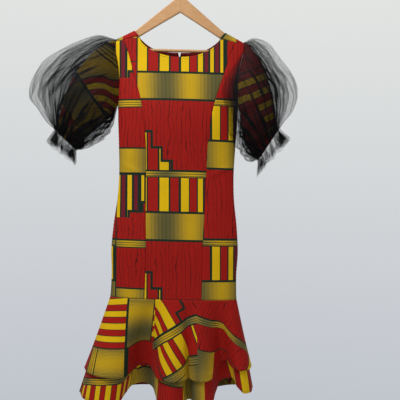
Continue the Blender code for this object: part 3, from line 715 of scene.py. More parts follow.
def wax_print(maker, across, down, dyes):
    """The print's colour: blocks of stripes, shaded bands, veined red and thin gold bands."""
    level = maker.fract(maker.times(down, 1000 / REPEAT))
    columns = maker.times(across, 1000 / COLUMN)
    place = maker.fract(columns)
    number = maker.math("FLOORED_MODULO", maker.math("FLOOR", columns), float(len(KINDS)))
    section, stripes = column_looks(maker, place, level, KINDS[0], dyes)
    for k, kind in enumerate(KINDS[1:], 1):
        is_kind = maker.near(number, k)
        shown, striped = column_looks(maker, place, level, kind, dyes)
        section = maker.choose(is_kind, shown, section)
        stripes = maker.mix(is_kind, stripes, striped)
    past_cone = maker.times(maker.near(number, CONE), maker.math("GREATER_THAN", place, CONE_END))
    past_cone = maker.times(maker.near(section, SHADED), past_cone)
    section = maker.choose(past_cone, float(RED), section)
    wave = maker.sine(maker.scaled(across, 2 * np.pi * 1000 / SHADE_WAVE, 1.1))
    shade = maker.mix(maker.scaled(wave, 0.5, 0.5), dyes["olive"], dyes["gold"])
    hatch = maker.less(maker.fract(maker.times(across, 1000 / HATCH_PITCH)), maker.scaled(wave, -0.24, 0.3))
    band_line = maker.less(maker.fract(maker.times(level, REPEAT / BAND_LINES)), 0.25)
    colour = maker.mix(maker.near(section, STRIPES), veined_red(maker, across, down, dyes), stripes)
    colour = maker.mix(maker.near(section, SHADED), colour, maker.mix(hatch, shade, dyes["dark_olive"]))
    colour = maker.mix(maker.near(section, BAND), colour, maker.mix(band_line, shade, dyes["green"]))
    side = maker.less(maker.math("PINGPONG", place, 0.5), SIDE_HALF / COLUMN)
    return maker.mix(maker.either(maker.near(section, EDGE), side), colour, dyes["green"])


def weave_height(maker, across, down):
    """A plain weave: the product of two waves, one for each direction of the yarns."""
    warp, weft = (maker.sine(maker.times(run, THREADS * np.pi)) for run in (across, down))
    return maker.times(warp, weft)


def cotton_material(name, dyes, roughness, weave, painted_shade=0.0):
    made, maker, place, across, down = cloth_material(name)
    # The noise darkens the print at random, the cloth's own uneven tone. The extra darkening asked for the
    # inside of the cloth is painted shade.
    fade_and_shade = maker.scaled(maker.noise(place, 14.0, detail=3.0), 0.24, painted_shade - 0.06)
    maker.surface({
        "Base Color": maker.mix(fade_and_shade, wax_print(maker, across, down, dyes), dyes["black"]),
        "Roughness": roughness, "Sheen Weight": 0.03, "Sheen Roughness": 0.4,
        "Specular IOR Level": 0.16}, weave_height(maker, across, down), weave)
    return made


def net_material(name, colour, cell, thread, body):
    """Tulle: threads on a fine grid let the light through between them."""
    made, maker, _, across, down = cloth_material(name)
    slants = maker.add(across, down), maker.math("SUBTRACT", across, down)
    threads = maker.either(*(
        maker.less(maker.fract(maker.times(slant, 1 / cell)), thread) for slant in slants))
    maker.surface({"Base Color": colour, "Roughness": 0.6, "Specular IOR Level": 0.2,
                   "Alpha": maker.scaled(threads, 1.0 - body, body)})
    return made


def wood_material(name, pale, dark):
    """Beech: long growth bands and short dark flecks along the grain."""
    made, maker, place = solid_material(name)
    bands = maker.noise(maker.stretched(place, (9.0, 60.0, 60.0)), 3.0, detail=4.0, distortion=0.5)
    flecks = maker.noise(maker.stretched(place, (60.0, 500.0, 500.0)), 2.0, detail=1.0)
    colour = maker.mix(maker.times(maker.less(flecks, 0.36), 0.35), maker.mix(bands, pale, dark), dark)
    maker.surface({"Base Color": colour, "Roughness": 0.42, "Coat Weight": 0.25,
                   "Coat Roughness": 0.25}, bands, 0.15)
    return made


def metal_material(name, colour, roughness):
    made, maker, place = solid_material(name)
    scratches = maker.noise(maker.stretched(place, (800.0, 800.0, 90.0)), 2.0)
    maker.surface({"Base Color": colour, "Metallic": 1.0,
                   "Roughness": maker.scaled(scratches, 0.16, roughness - 0.08)}, scratches, 0.08)
    return made


def thread_material(name, colour):
    """Twisted thread: slanted ridges round it."""
    made, maker, place = solid_material(name)
    twist = maker.node("ShaderNodeTexWave", {"Vector": place, "Scale": 900.0},
                       bands_direction="DIAGONAL").outputs["Fac"]
    maker.surface({"Base Color": maker.mix(maker.times(twist, 0.3), colour, (0.1, 0.12, 0.1)),
                   "Roughness": 0.7}, twist)
    return made


def tape_material(name, colour):
    made, maker, place = solid_material(name)
    across, _, down = maker.split(place)
    ribs = maker.sine(maker.times(down, 9000.0))
    relief = maker.times(ribs, maker.sine(maker.times(across, 6000.0)))
    maker.surface({"Base Color": maker.mix(maker.scaled(ribs, 0.1, 0.1), colour, (0.2, 0.2, 0.2)),
                   "Roughness": 0.85}, relief, 0.4)
    return made


def tint(name, description, default):
    return bpy.props.FloatVectorProperty(
        name=name, description=description, subtype="COLOR", size=3, min=0.0, max=1.0,
        default=default)


def length(name, description, low, high, default):
    return bpy.props.FloatProperty(
        name=name, description=description, subtype="DISTANCE", unit="LENGTH", min=low, max=high,
        default=default)


def share_of(name, description, low, high, default):
    return bpy.props.FloatProperty(
        name=name, description=description, subtype="FACTOR", min=low, max=high, default=default)


class PrintColours(bpy.types.PropertyGroup):
    """Dyes of the wax print."""

    red: tint("Red", "Ground of the veined blocks", paint(172, 24, 15))
    yellow: tint("Yellow", "Bright stripes", paint(240, 196, 6))
    gold: tint("Gold", "Bright side of the shaded bands", paint(216, 174, 24))
    olive: tint("Olive", "Dull side of the shaded bands", paint(122, 114, 62))
    dark_olive: tint("Dark olive", "Fine lines of the shaded bands", paint(72, 70, 44))
    green: tint("Green", "Lines between blocks and stripes", paint(24, 46, 34))
    plum: tint("Plum", "Narrow dull red stripes", paint(118, 26, 40))
    black: tint("Black", "Veins in the red", paint(30, 16, 16))


class ClothSizes(bpy.types.PropertyGroup):
    """The cloth's own sizes."""

    cotton: length("Cotton", "Thickness of the printed cotton", 0.0002, 0.003, 0.0008)
    mesh_cell: length("Net cell", "Distance between two of the net's threads", 0.0005, 0.005, 0.0016)
    thread: share_of("Thread share", "Share of a cell that one thread fills", 0.02, 0.8, 0.105)
    weave: share_of("Weave", "Strength of the weave's relief", 0.0, 1.0, 0.25)


class HangerFinish(bpy.types.PropertyGroup):
    """Wood and metal."""

    pale: tint("Pale wood", "Ground of the beech", paint(222, 176, 124))
    dark: tint("Dark wood", "Grain of the beech", paint(184, 130, 78))
    steel: tint("Steel", "Plating of the hook", (0.62, 0.62, 0.60))
    brass: tint("Brass", "Slider and pull of the zip", (0.55, 0.42, 0.18))


class StageSettings(bpy.types.PropertyGroup):
    """Floor, light and camera."""

    floor: tint("Floor", "Colour of the floor", paint(214, 214, 210))
    # The wall behind the dress is painted paler at the top and darker towards the bottom: painted light and
    # shade
    wall: tint("High wall", "Colour behind the dress, at the top", paint(226, 228, 226))
    low_wall_shade: tint("Low wall", "Colour behind the dress, at the bottom", paint(192, 196, 204))
    ambient: bpy.props.FloatProperty(
        name="Ambient", description="Strength of the light from all sides", min=0.0,
        default=0.36)
    light: bpy.props.FloatProperty(
        name="Soft light", description="Strength of the large lamp", unit="POWER", min=0.0,
        default=25.5)
    distance: length("Camera distance", "From the hanger's plane", 0.5, 10.0, 1.9)


def settings():
    return bpy.context.scene.hung_dress


def colours():
    dyes = settings().dyes
    return {name: tuple(getattr(dyes, name)) for name in PrintColours.__annotations__}


def cotton():
    """The printed cotton, and the same print darkened by painted shade for the cloth's inside, made once.
    """
    if PRINT not in bpy.data.materials:
        weave = settings().cloth.weave
        cotton_material(PRINT, colours(), 0.72, weave)
        # Painted shade: the inside of the cloth gets the print darkened by about two thirds
        cotton_material(INSIDE_SHADE, colours(), 0.85, weave, painted_shade=0.66)
    return bpy.data.materials[PRINT], bpy.data.materials[INSIDE_SHADE]


PRINT = "wax_print_cotton"
# The inside of the cotton: the print darkened, as painted shade
INSIDE_SHADE = "wax_print_reverse"
# How far each panel's print is moved: across, and down to the top of a gold band
Shift = namedtuple("Shift", "across down")
NO_SHIFT = Shift(0, 0)
CENTRE_PRINT = Shift(131, 633)
BACK_PRINT = Shift(131, 3)
LEFT_PRINT = Shift(34, 407)
RIGHT_PRINT = Shift(COLUMN + 200, 414)
GRAIN_LEAN = 0.024
GRAIN_LEVEL = 280.0
# Columns and rows of the panels' grids
CENTRE_GRID = (96, 250)
SIDE_GRID = (44, 230)
BACK_GRID = (48, 220)
WRAP_ROWS = 12


def minus_princess(drop):
    return -princess_x(drop)


class DRESS_OT_body(bpy.types.Operator):
    """Makes the seven panels of the fitted body."""

    bl_idname = "hung_dress.body"
    bl_label = "Body panels"

    def execute(self, context):
        centre, _, _ = body_patch(minus_princess, princess_x, front_top, FRONT, 1.0, *CENTRE_GRID,
                                  CENTRE_PRINT)
        hang("front_centre", [centre])
        for side, sign, shift in (("left", 1.0, LEFT_PRINT), ("right", -1.0, RIGHT_PRINT)):
            patch, _, _ = body_patch(princess_x, side_x, front_top, FRONT, sign, *SIDE_GRID, shift)
            hang("front_side_" + side, [patch])
            for part, low, high, print_shift, neck in (
                    ("back_centre_", zip_edge, princess_x, BACK_PRINT, True),
                    ("back_side_", princess_x, side_x, shift, False)):
                patch, x, top = body_patch(low, high, back_top, BACK, sign, *BACK_GRID, print_shift)
                first = int(np.argmax(x[0] >= NECK_HALF)) if neck else 0
                inner_x = FRONT_SEAM_NECK if neck else x[0, 0]
                wrap = shoulder_patch(patch, x, top, first, inner_x, sign, WRAP_ROWS)
                hang(part + side, [patch, wrap])
        return {"FINISHED"}


def zip_edge(drop):
    """The centre-back edge, which stands open above the zip's slider."""
    spread = np.clip((ZIP_TOP - drop) / (ZIP_TOP - BACK_NECK_DROP), 0, 1)
    return HALF_GAP + NECK_OPENING * spread


def seam_ring(share, facing):
    """Points of the skirt's lower edge at equal shares of its length."""
    fine = np.linspace(-np.pi / 2, np.pi / 2, 721)
    wide = half_width(np.array(FLOUNCE_SEAM))
    deep = facing * column(BODY, "front" if facing < 0 else "back")[-1]
    run = run_along(np.stack([wide * np.sin(fine), deep * np.cos(fine)], axis=-1))
    angle = np.interp(share * run[-1], run, fine)
    level = np.full_like(angle, FLOUNCE_SEAM + HALF_GAP)
    return np.stack([wide * np.sin(angle), deep * np.cos(angle), level], axis=-1)


# Stretches of flounce along the seam, and how each lies on the cloth that it is cut from: the turn of
# its ring, in degrees, at both ends, the ring's radius at the seam, and the print's shift
SECTOR = "start end turn_start turn_end radius across down"
UPPER_FRONT_CUT = table(
    SECTOR, (0.0, 0.37, -101.9, -86.7, 600, 1596, -266), (0.37, 0.667, -44.4, -20, 300, 875, 326),
    (0.667, 1.0, 20, 47, 300, 1030, 326))
LOWER_FRONT_CUT = table(
    SECTOR, (0.0, 0.30, -20, 9.5, 300, 1040, 463), (0.30, 0.56, -14, 12, 300, 1118, 340),
    (0.56, 0.80, -12, 14, 300, 1232, 430), (0.80, 1.0, -5, 5, 300, 1012, 440))
BACK_CUT = table(SECTOR, (0.0, 0.5, -70, 0, 170, 280, 221), (0.5, 1.0, 0, 70, 170, 280, 221))


def hem_run(rows):
    """Knots of a hem's table, and the length along it at each knot, seen from above."""
    knots = np.stack([column(rows, "x"), column(rows, "depth"), column(rows, "drop")], axis=-1)
    return knots, run_along(knots[:, :2])


def flounce_grid(rows, facing, share, lengths, under):
    """Straight lines from the skirt's edge to the fluted hem, cut off at the given lengths."""
    knots, run = hem_run(rows)
    hem = smooth(share * run[-1], run, knots)
    seam = seam_ring(share, facing)
    lengths = np.array(lengths)[:, None]
    grid = seam + (hem - seam) * (lengths / LOWER_LENGTH)[..., None]
    grid[:, [0, -1], 1] = facing * HALF_GAP
    grid = grid * np.array([1.0, 1.0, -1.0])
    share_down = lengths / lengths[-1]
    outward = TIER_FLARE * share_down ** 3
    if under:
        outward = -TIER_INWARD - TIER_GAP * lengths / LOWER_LENGTH - TIER_LAG * share_down ** 2
    return grid + outwards(grid, grid * UPRIGHT) * outward[..., None]


def flounce_patches(grid, share, lengths, sectors):
    """The grid in sectors. Each one's print map is the ring that it is cut from.

    A share of the seam turns round the ring's centre, and the length from the seam adds to its radius.
    """
    patches = []
    for sector in sectors:
        first = int(np.searchsorted(share, sector.start - 1e-6))
        last = int(np.searchsorted(share, sector.end + 1e-6)) + (sector.end < 1.0)
        mix = (share[first:last] - sector.start) / (sector.end - sector.start)
        turn = np.radians(sector.turn_start + (sector.turn_end - sector.turn_start) * mix)
        radius = sector.radius + lengths[:, None]
        cut = np.stack([radius * np.sin(turn) + sector.across,
                        radius * np.cos(turn) - sector.down], axis=-1)
        place = grid[:, first:last]
        patches.append(Patch(place, cut, False, place * UPRIGHT))
    return patches


class DRESS_OT_flounces(bpy.types.Operator):
    """Makes both tiers of the circular flounce, front and back."""

    bl_idname = "hung_dress.flounces"
    bl_label = "Flounces"

    def execute(self, context):
        seam = 2 * half_width(np.array(FLOUNCE_SEAM))
        for side, tier, rows, facing, columns, length_down, steps, sectors in (
                ("front", "upper", FRONT_HEM, FRONT, 300, UPPER_LENGTH, 44, UPPER_FRONT_CUT),
                ("front", "lower", FRONT_HEM, FRONT, 300, LOWER_LENGTH, 56, LOWER_FRONT_CUT),
                ("back", "upper", BACK_HEM, BACK, 220, UPPER_LENGTH, 44, BACK_CUT),
                ("back", "lower", BACK_HEM, BACK, 220, LOWER_LENGTH, 56, BACK_CUT)):
            share = np.linspace(0, 1, columns + 1)
            lengths = np.linspace(0, length_down, steps)
            grid = flounce_grid(rows, facing, share, lengths, tier == "lower")
            hem = hem_run(rows)[1][-1]
            widest = float(seam + (hem - seam) * length_down / LOWER_LENGTH)
            area = float((seam + widest) / 2 * length_down)
            hang("flounce_" + tier + "_" + side, flounce_patches(grid, share, lengths, sectors),
                 cut=Cut(widest * MM, length_down * MM, area * MM * MM))
        return {"FINISHED"}


def armhole_ring(turn, outward):
    """The armhole's edge as a ring, and the same ring moved outwards for the net."""
    mix = (1 - np.cos(turn)) / 2
    tip = ridge_drop(SHOULDER_HALF)
    drop = tip + (UNDERARM - tip) * mix
    x = side_x(drop)
    deep = body_depth(x, drop, -np.sign(np.sin(turn)))
    y = -np.sign(np.round(np.sin(turn), 6)) * deep
    along_y = np.roll(y, -1) - np.roll(y, 1)
    along_drop = np.roll(drop, -1) - np.roll(drop, 1)
    size = np.hypot(along_y, along_drop)
    out_y = y - along_drop / size * outward
    out_drop = drop + along_y / size * outward
    return np.stack([x + SLEEVE_GAP, out_y, out_drop], axis=-1)


def sleeve_grid(rows, outward, turn, steps, last):
    """A closed tube from the armhole down: ellipses between the ends given in its table."""
    mix = ((1 - np.cos(turn)) / 2)[None, :]
    outer_x, outer_drop, inner_x, inner_drop, depth = np.array(rows, dtype=float).T[..., None]
    x = outer_x + (inner_x - outer_x) * mix
    drop = outer_drop + (inner_drop - outer_drop) * mix
    y = -depth * np.sin(turn)[None, :]
    rings = np.concatenate([armhole_ring(turn, outward)[None], np.stack([x, y, drop], axis=-1)])
    return smooth(np.linspace(0, last, steps), np.arange(len(rings), dtype=float), rings)


def sleeve_map(grid, turn, lay):
    """A cut's map for a sleeve that lies flat, turned by the lean in degrees.

    Each point is placed by how far it lies along the sleeve's axis, and by how far across the axis
    from the outer fold: to one side of the fold on the front, and to the other on the back.
    """
    axis = np.array(lay.axis) / np.hypot(*lay.axis)
    flat = np.stack([grid[..., 0], grid[..., 2]], axis=-1)
    along = flat @ axis
    across = flat @ np.array([-axis[1], axis[0]])
    round_by = (across - across[:, :1]) * np.where(np.sin(turn) < 0, -1, 1)
    lean = np.radians(lay.lean)
    return np.stack([along * np.cos(lean) + round_by * np.sin(lean),
                     round_by * np.cos(lean) - along * np.sin(lean)], axis=-1)


def unrolled_map(grid):
    """A cut's map for a closed tube: its median girth across, and each column's length down."""
    down = run_down(grid)
    down = np.hstack([down, down[:, :1]])
    girth = np.median(np.linalg.norm(np.roll(grid, -1, axis=1) - grid, axis=-1).sum(axis=1))
    across = np.linspace(-girth / 2, girth / 2, down.shape[1])[None, :] + 0 * down
    return np.stack([across, down], axis=-1)


def sleeve_patch(sign, grid, at, turn, ripple, shift, lay=None):
    """A sleeve's grid with its folds, mirrored to its side, with the print's map."""
    centre = grid.mean(axis=1, keepdims=True)
    away = unit(grid - centre)
    beside = unit(np.roll(grid, -1, axis=1) - np.roll(grid, 1, axis=1))
    forward = unit(np.gradient(centre, axis=0))
    for direction, move in zip((away, beside, forward), ripple(turn[None, :], at[:, None])):
        grid = grid + direction * move[..., None]
    cut = unrolled_map(grid)
    if lay:
        closed = np.concatenate([grid, grid[:, :1]], axis=1)
        cut = sleeve_map(closed, np.append(turn, 2 * np.pi - 0.01), lay) * np.array([1.0, sign])
    scale = np.array([sign, 1.0, -1.0])
    return Patch(grid * scale, cut + np.array(shift), True, centre * scale)


def ring_turns(columns):
    return 2 * np.pi * np.arange(columns) / columns


def cotton_ripple(turn, at):
    """Soft gathers at the cap, fading down the sleeve."""
    outward_by = 1.8 * np.cos(9 * turn) * np.exp(-at / 1.2) * np.clip(at * 2.5, 0, 1)
    return outward_by, 0 * outward_by, 0 * outward_by


def net_ripple(turn, at, phase=0.0):
    """Gathered folds along the sleeve, strongest by the armhole and the cuff, with crumples between.

    The cloth moves out and in as a sum of waves, and sideways by the same waves a quarter turn later,
    so that the steeper folds lean over and lie on themselves.
    """
    top = np.exp(-at / 2.2) * np.clip(at * 1.2, 0, 1)
    cuff = np.exp(-((at - CUFF_STATION) / 1.6) ** 2)
    cuff = cuff + 1.6 * np.clip(at - (CUFF_STATION + 0.1), 0, 1)
    slack = np.exp(-((at - 4.5) / 2.6) ** 2)
    loose = np.clip(at * 0.8, 0, 1)
    course = 17 * turn + 2.2 * np.sin(2 * turn + phase) + 0.9 * np.sin(1.3 * at + 3 * turn) + phase
    fine = 31 * turn - 1.7 * np.sin(3 * turn + 1.0 + phase) + 0.8 * np.sin(2.1 * at) - phase
    crumple = 6 * turn + 1.9 * at + 1.4 * np.sin(2 * turn + phase)
    across = 2.6 * at + 1.1 * np.sin(3 * turn - phase) + 2 * phase
    outward_by = loose * ((2.4 * top + 3.4 * cuff + 1.4 * slack) * np.sin(course)
                          + (1.0 * top + 2.2 * cuff + 0.8 * slack) * np.sin(fine)
                          + 5.0 * slack * np.sin(crumple) * np.sin(across))
    sideways_by = loose * ((5.5 * top + 5.0 * cuff + 7.0 * slack) * np.cos(course)
                           + (2.4 * top + 2.2 * cuff + 2.4 * slack) * np.cos(fine))
    flare = np.clip(at - CUFF_STATION, 0, 1)
    outward_by = outward_by + flare * (6.0 * np.sin(course) + 4.0 * np.sin(fine))
    sideways_by = sideways_by + flare * (6.0 * np.cos(course) + 3.0 * np.cos(fine))
    lengthwise_by = flare * (5.0 * np.sin(course + 1.1) + 5.0 * np.sin(fine + 0.4))
    return outward_by, sideways_by, lengthwise_by


# How each sleeve's cut lies on the print: its axis in the picture's plane, and the print's lean to it
Lay = namedtuple("Lay", "axis lean")
LAY_LEFT = Lay((0.25, 0.97), -15.5)
LAY_RIGHT = Lay((0.34, 0.94), 54.7)
SLEEVE_COLUMNS = 96
SLEEVE_STEPS = 90


class DRESS_OT_sleeves(bpy.types.Operator):
    """Makes the printed sleeves that hang inside the net."""

    bl_idname = "hung_dress.sleeves"
    bl_label = "Printed sleeves"

    def execute(self, context):
        turn = ring_turns(SLEEVE_COLUMNS)
        for side, sign, rows, shift, lay in (
                ("left", 1.0, PRINT_LEFT, Shift(500, 206), LAY_LEFT),
                ("right", -1.0, PRINT_RIGHT, Shift(563, -127), LAY_RIGHT)):
            grid = sleeve_grid(rows, 0.0, turn, SLEEVE_STEPS, len(rows))
            at = np.linspace(0, len(rows), SLEEVE_STEPS)
            patch = sleeve_patch(sign, grid, at, turn, cotton_ripple, shift, lay)
            unrolled = sleeve_patch(sign, grid, at, turn, cotton_ripple, NO_SHIFT)
            hang("sleeve_" + side, [patch], cut=flat_of([unrolled]))
        return {"FINISHED"}


# The net is one long strip, gathered so that it lies in several turns. Each turn is placed between
# the printed sleeve, 0, and the full puff, 1, with folds of its own.
NET_LAYERS = table(
    "puff_left puff_right phase depth columns steps",
    (1, 1, 0.0, 1.0, 220, 120), (0.66, 0.8, 1.9, 1.4, 170, 90), (0.36, 0.56, 4.1, 1.3, 150, 80),
    (0.15, 0.24, 2.8, 0.8, 120, 80))
NET_OVERLAP = 85.0
NET_CLEAR = 7.0
NET_MARGIN = 8.0
NET_ARMHOLE = 1.5


def fall_over(grid, turn, at, share):
    """Moves the front of the net across the panel beside it, and out to lie on that panel."""
    inner = ((1 - np.cos(turn)) / 2)[None, :]
    along = (np.clip(at / 0.3, 0, 1) * np.clip((6.0 - at) / 3.0, 0, 1))[:, None]
    front = np.clip(np.sin(turn), 0, 1)[None, :] * inner * along
    grid[..., 0] -= NET_OVERLAP * front * share
    x, drop = grid[..., 0], grid[..., 2]
    over = np.clip((side_x(drop) + NET_MARGIN - x) / NET_MARGIN, 0, 1) * np.clip(front * 12.0, 0, 1)
    inside = np.minimum(x, side_x(drop) - 0.5)
    clear = -body_depth(inside, drop, FRONT) - NET_CLEAR * (0.4 + share)
    grid[..., 1] += over * (np.minimum(grid[..., 1], clear) - grid[..., 1])


def net_turn(layer, side, sign, outer, inner):
    """One turn of the net round a sleeve."""
    turn = ring_turns(layer.columns)
    share = layer.puff_left if side == "left" else layer.puff_right
    last = len(outer) if share == 1 else CUFF_STATION
    at = np.linspace(0, last, layer.steps)
    puff = sleeve_grid(outer, NET_ARMHOLE, turn, layer.steps, last)
    close = sleeve_grid(inner, NET_ARMHOLE, turn, layer.steps, len(inner))
    grid = close + (puff - close) * share
    if side == "left":
        fall_over(grid, turn, at, share)

    def ripple(turn, at):
        return [move * layer.depth for move in net_ripple(turn, at, layer.phase)]

    return sleeve_patch(sign, grid, at, turn, ripple, NO_SHIFT)


class DRESS_OT_net_sleeves(bpy.types.Operator):
    """Makes the net puffs over the printed sleeves."""

    bl_idname = "hung_dress.net_sleeves"
    bl_label = "Net sleeves"

    def execute(self, context):
        sizes = settings().cloth
        finish = [net_material("black_tulle", paint(6, 6, 9), sizes.mesh_cell, sizes.thread, 0.04)]
        for side, sign, outer, inner in (
                ("left", 1.0, NET_LEFT, PRINT_LEFT), ("right", -1.0, NET_RIGHT, PRINT_RIGHT)):
            patches = [net_turn(layer, side, sign, outer, inner) for layer in NET_LAYERS]
            cuts = [flat_of([patch]) for patch in patches]
            cut = Cut(sum(cut.width for cut in cuts), max(cut.length for cut in cuts),
                      sum(cut.area for cut in cuts))
            hang("net_sleeve_" + side, patches, finish, cut)
        return {"FINISHED"}


class DRESS_OT_hanger(bpy.types.Operator):
    """Finishes the hanger's wood and hook, and the zip's metal and tape."""

    bl_idname = "hung_dress.hanger"
    bl_label = "Hanger and zip"

    def execute(self, context):
        finish = settings().hanger
        wood = wood_material("beech_grain", tuple(finish.pale), tuple(finish.dark))
        steel = metal_material("plated_steel", tuple(finish.steel), 0.28)
        brass = metal_material("zip_brass", tuple(finish.brass), 0.36)
        tape = tape_material("zip_tape_weave", paint(30, 34, 32))
        for node, made in (
                ("hanger_arm_left", wood), ("hanger_arm_right", wood), ("hanger_bar", wood),
                ("hanger_hook", steel), ("zip_slider", brass), ("zip_pull", brass),
                ("zip_tape", tape)):
            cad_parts[node].material_slots[0].material = made
        return {"FINISHED"}


STITCH_PITCH = 3.8
STITCH_LENGTH = 2.7
STITCH_HALF = 0.42
HEM_STITCH = 9.0
NECK_STITCH = 5.0
SEAM_STITCH = 3.2
CHAIN_INWARD = 3.6
TOOTH_PITCH = 2.2
TOOTH_LENGTH = 1.5
TOOTH_HALF = 0.8
COIL_HALF = 0.9
STITCH_LIFT = 0.1
STITCHED_NECK = 120
STITCHED_BACK = (8, 136)
STITCHED_WAIST = 188


def along_path(path, at):
    """Points at the given lengths along a path."""
    run = run_along(path)
    return np.stack([np.interp(at, run, path[:, k]) for k in range(3)], axis=-1)


def dashes(path, outward, pitch, size, half):
    """Short tapered threads end to end along a path: places and faces of six-sided tubes."""
    total = run_along(path)[-1]
    starts = np.arange(0, total - size, pitch)
    turn = ring_turns(6)
    rings = []
    for share, taper in ((0.0, 0.45), (0.2, 1.0), (0.8, 1.0), (1.0, 0.45)):
        at = starts + size * share
        centre = along_path(path, at)
        lift = along_path(outward, at / total * run_along(outward)[-1])
        beside = unit(np.cross(unit(along_path(path, at + 0.5) - centre), lift))
        rings.append(centre[:, None] + beside[:, None] * (np.cos(turn) * half * taper)[None, :, None]
                     + lift[:, None] * (np.sin(turn) * half * 0.7 * taper)[None, :, None])
    places = np.stack(rings, axis=1)
    number = np.arange(places[..., 0].size).reshape(places.shape[:3])
    after = np.roll(number, -1, axis=2)
    tube = np.stack([number[:, :-1], after[:, :-1], after[:, 1:], number[:, 1:]], axis=-1)
    caps = np.concatenate([number[:, 0, ::-1], number[:, -1]])
    return places.reshape(-1, 3), tube.reshape(-1, 4).tolist() + caps.tolist()


def sewn(name, rows, finish, pitch=STITCH_PITCH, size=STITCH_LENGTH, half=STITCH_HALF):
    """One mesh of dashes along several paths. Each row is a path and its outward directions."""
    places, faces, count = [], [], 0
    for path, outward in rows:
        part, corners = dashes(path, outward, pitch, size, half)
        places.append(part)
        faces.extend([[corner + count for corner in face] for face in corners])
        count += len(part)
    mesh = bpy.data.meshes.new(name)
    mesh.from_pydata((np.vstack(places) * MM).tolist(), [], faces)
    mesh.materials.append(finish)
    mesh.shade_smooth()
    made = add_object(name, mesh)
    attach(made, DRESS)


def body_row(x, drop, facing, lift=STITCH_LIFT):
    """A path across the body's cloth, and the directions out of it."""
    x, drop = np.broadcast_arrays(x, drop)
    grid = np.stack([body_points(x, drop + step, facing) for step in (-1.0, 0.0, 1.0)])
    normal = outwards(grid, grid * UPRIGHT)[1]
    return grid[1] + normal * lift, normal


def hem_row(rows, facing, length_down, under):
    """A path along a tier, a little above its hem."""
    share = np.linspace(0.004, 0.996, 400)
    lengths = np.linspace(0, length_down, 44)
    grid = flounce_grid(rows, facing, share, lengths, under)
    level = int(round((1 - HEM_STITCH / length_down) * 43))
    return grid[level], outwards(grid, grid * UPRIGHT)[level]


class DRESS_OT_sewing(bpy.types.Operator):
    """Adds the rows of stitches at neck, hems and flounce seam, and the zip's coil."""

    bl_idname = "hung_dress.sewing"
    bl_label = "Sewing and zip coil"

    def execute(self, context):
        thread = thread_material("dark_thread", colours()["green"])
        neck = np.linspace(-STITCHED_NECK, STITCHED_NECK, 200)
        back_neck = np.linspace(*STITCHED_BACK, 120)
        waist = np.linspace(-STITCHED_WAIST, STITCHED_WAIST, 300)
        rows = [body_row(neck, front_top(neck) + NECK_STITCH, FRONT)]
        for x in (back_neck, -back_neck):
            rows.append(body_row(x, back_top(x) + NECK_STITCH, BACK))
        for facing in (FRONT, BACK):
            rows.append(body_row(waist, FLOUNCE_SEAM - SEAM_STITCH, facing))
        sewn("body_stitches", rows, thread)
        rows = [hem_row(hem, facing, length_down, under)
                for hem, facing in ((FRONT_HEM, FRONT), (BACK_HEM, BACK))
                for length_down, under in ((UPPER_LENGTH, False), (LOWER_LENGTH, True))]
        sewn("hem_stitches", rows, thread)
        coil = thread_material("zip_coil", paint(46, 40, 30))
        drop = np.linspace(BACK_NECK_DROP + 2, ZIP_END - 4, 400)
        rows = [body_row(sign * (zip_edge(drop) + COIL_HALF), drop, BACK, -CHAIN_INWARD)
                for sign in (1.0, -1.0)]
        sewn("zip_teeth", rows, coil, TOOTH_PITCH, TOOTH_LENGTH, TOOTH_HALF)
        return {"FINISHED"}


CAMERA_X = 0.0762
CAMERA_Z = -0.720
CAMERA_ROLL = -1.4
FRAME_WIDTH = 1.26
SENSOR = 36.0
FLOOR_RADIUS = 1.15
FLOOR_LEVEL = -1.75
AIM = Vector((0.0, 0.0, -0.7))
LAMPS = table(
    "name place size share",
    ("window_light", (-0.72, -0.98, 0.85), 0.9, 1.0), ("room_light", (1.5, -2.0, 0.2), 2.0, 0.16))


def pale_room(stage):
    """A world that lights evenly from all sides, and shows the camera a wall with painted light: paler at
    the top, with painted shade towards the bottom.
    """
    world = bpy.data.worlds.new("pale_room")
    world.use_nodes = True
    maker = Maker(world.node_tree)
    seen = maker.node("ShaderNodeLightPath").outputs["Is Camera Ray"]
    _, _, height = maker.split(maker.node("ShaderNodeTexCoord").outputs["Generated"])
    wall = maker.mix(maker.scaled(height, 1.6, 0.5), tuple(stage.low_wall_shade), tuple(stage.wall))
    maker.feed(world.node_tree.nodes["Background"].inputs["Color"],
               maker.mix(seen, grey(stage.ambient), wall))
    return world


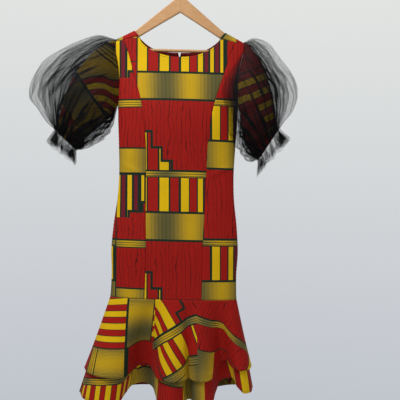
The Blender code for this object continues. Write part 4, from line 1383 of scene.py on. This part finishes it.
class DRESS_OT_stage(bpy.types.Operator):
    """Sets the floor, the soft light and the camera."""

    bl_idname = "hung_dress.stage"
    bl_label = "Stage"

    def execute(self, context):
        stage = settings().stage
        turn = ring_turns(64)
        places = np.stack([FLOOR_RADIUS * np.cos(turn), FLOOR_RADIUS * np.sin(turn),
                           0 * turn + FLOOR_LEVEL], axis=-1)
        mesh = bpy.data.meshes.new("floor")
        mesh.from_pydata(places.tolist(), [], [list(range(len(turn)))])
        made, maker = new_material("pale_floor")
        maker.surface({"Base Color": tuple(stage.floor), "Roughness": 0.8})
        mesh.materials.append(made)
        add_object("floor", mesh)
        context.scene.world = pale_room(stage)
        context.scene.view_settings.view_transform = "Standard"
        for row in LAMPS:
            lamp = bpy.data.lights.new(row.name, "AREA")
            lamp.size = row.size
            lamp.energy = stage.light * row.share
            placed = add_object(row.name, lamp)
            placed.location = row.place
            placed.rotation_euler = (AIM - Vector(row.place)).to_track_quat("-Z", "Y").to_euler()
        camera = add_object("camera", bpy.data.cameras.new("camera"))
        camera.location = (CAMERA_X, -stage.distance, CAMERA_Z)
        camera.rotation_euler = (np.pi / 2, np.radians(CAMERA_ROLL), 0.0)
        camera.data.sensor_width = SENSOR
        camera.data.lens = SENSOR * stage.distance / FRAME_WIDTH
        context.scene.camera = camera
        return {"FINISHED"}


class DressSettings(bpy.types.PropertyGroup):
    """All that a user would change."""

    dyes: bpy.props.PointerProperty(
        name="Dyes", description="Colours of the print", type=PrintColours)
    cloth: bpy.props.PointerProperty(
        name="Cloth", description="Sizes of the cloth and the net", type=ClothSizes)
    hanger: bpy.props.PointerProperty(
        name="Hanger", description="Wood and metal", type=HangerFinish)
    stage: bpy.props.PointerProperty(
        name="Stage", description="Floor, light and camera", type=StageSettings)


OPERATORS = (
    DRESS_OT_body, DRESS_OT_flounces, DRESS_OT_sleeves, DRESS_OT_net_sleeves, DRESS_OT_sewing,
    DRESS_OT_hanger, DRESS_OT_stage)


class DRESS_PT_panel(bpy.types.Panel):
    """Lists the makers of each piece and their settings."""

    bl_idname = "DRESS_PT_panel"
    bl_label = "Hung dress"
    bl_space_type = "VIEW_3D"
    bl_region_type = "UI"
    bl_category = "Dress"

    def draw(self, context):
        dress = context.scene.hung_dress
        for group in (dress.dyes, dress.cloth, dress.hanger, dress.stage):
            box = self.layout.box()
            for name in group.__annotations__:
                box.prop(group, name)
        for operator in OPERATORS:
            self.layout.operator(operator.bl_idname)


CLASSES = (PrintColours, ClothSizes, HangerFinish, StageSettings, DressSettings, *OPERATORS,
           DRESS_PT_panel)


def register():
    for made in CLASSES:
        bpy.utils.register_class(made)
    bpy.types.Scene.hung_dress = bpy.props.PointerProperty(
        name="Hung dress", description="Sizes and colours of the dress", type=DressSettings)


def unregister():
    del bpy.types.Scene.hung_dress
    for made in reversed(CLASSES):
        bpy.utils.unregister_class(made)


def main():
    register()
    bpy.ops.hung_dress.body()
    bpy.ops.hung_dress.flounces()
    bpy.ops.hung_dress.sleeves()
    bpy.ops.hung_dress.net_sleeves()
    bpy.ops.hung_dress.sewing()
    bpy.ops.hung_dress.hanger()
    bpy.ops.hung_dress.stage()


if __name__ == "__main__":
    main()
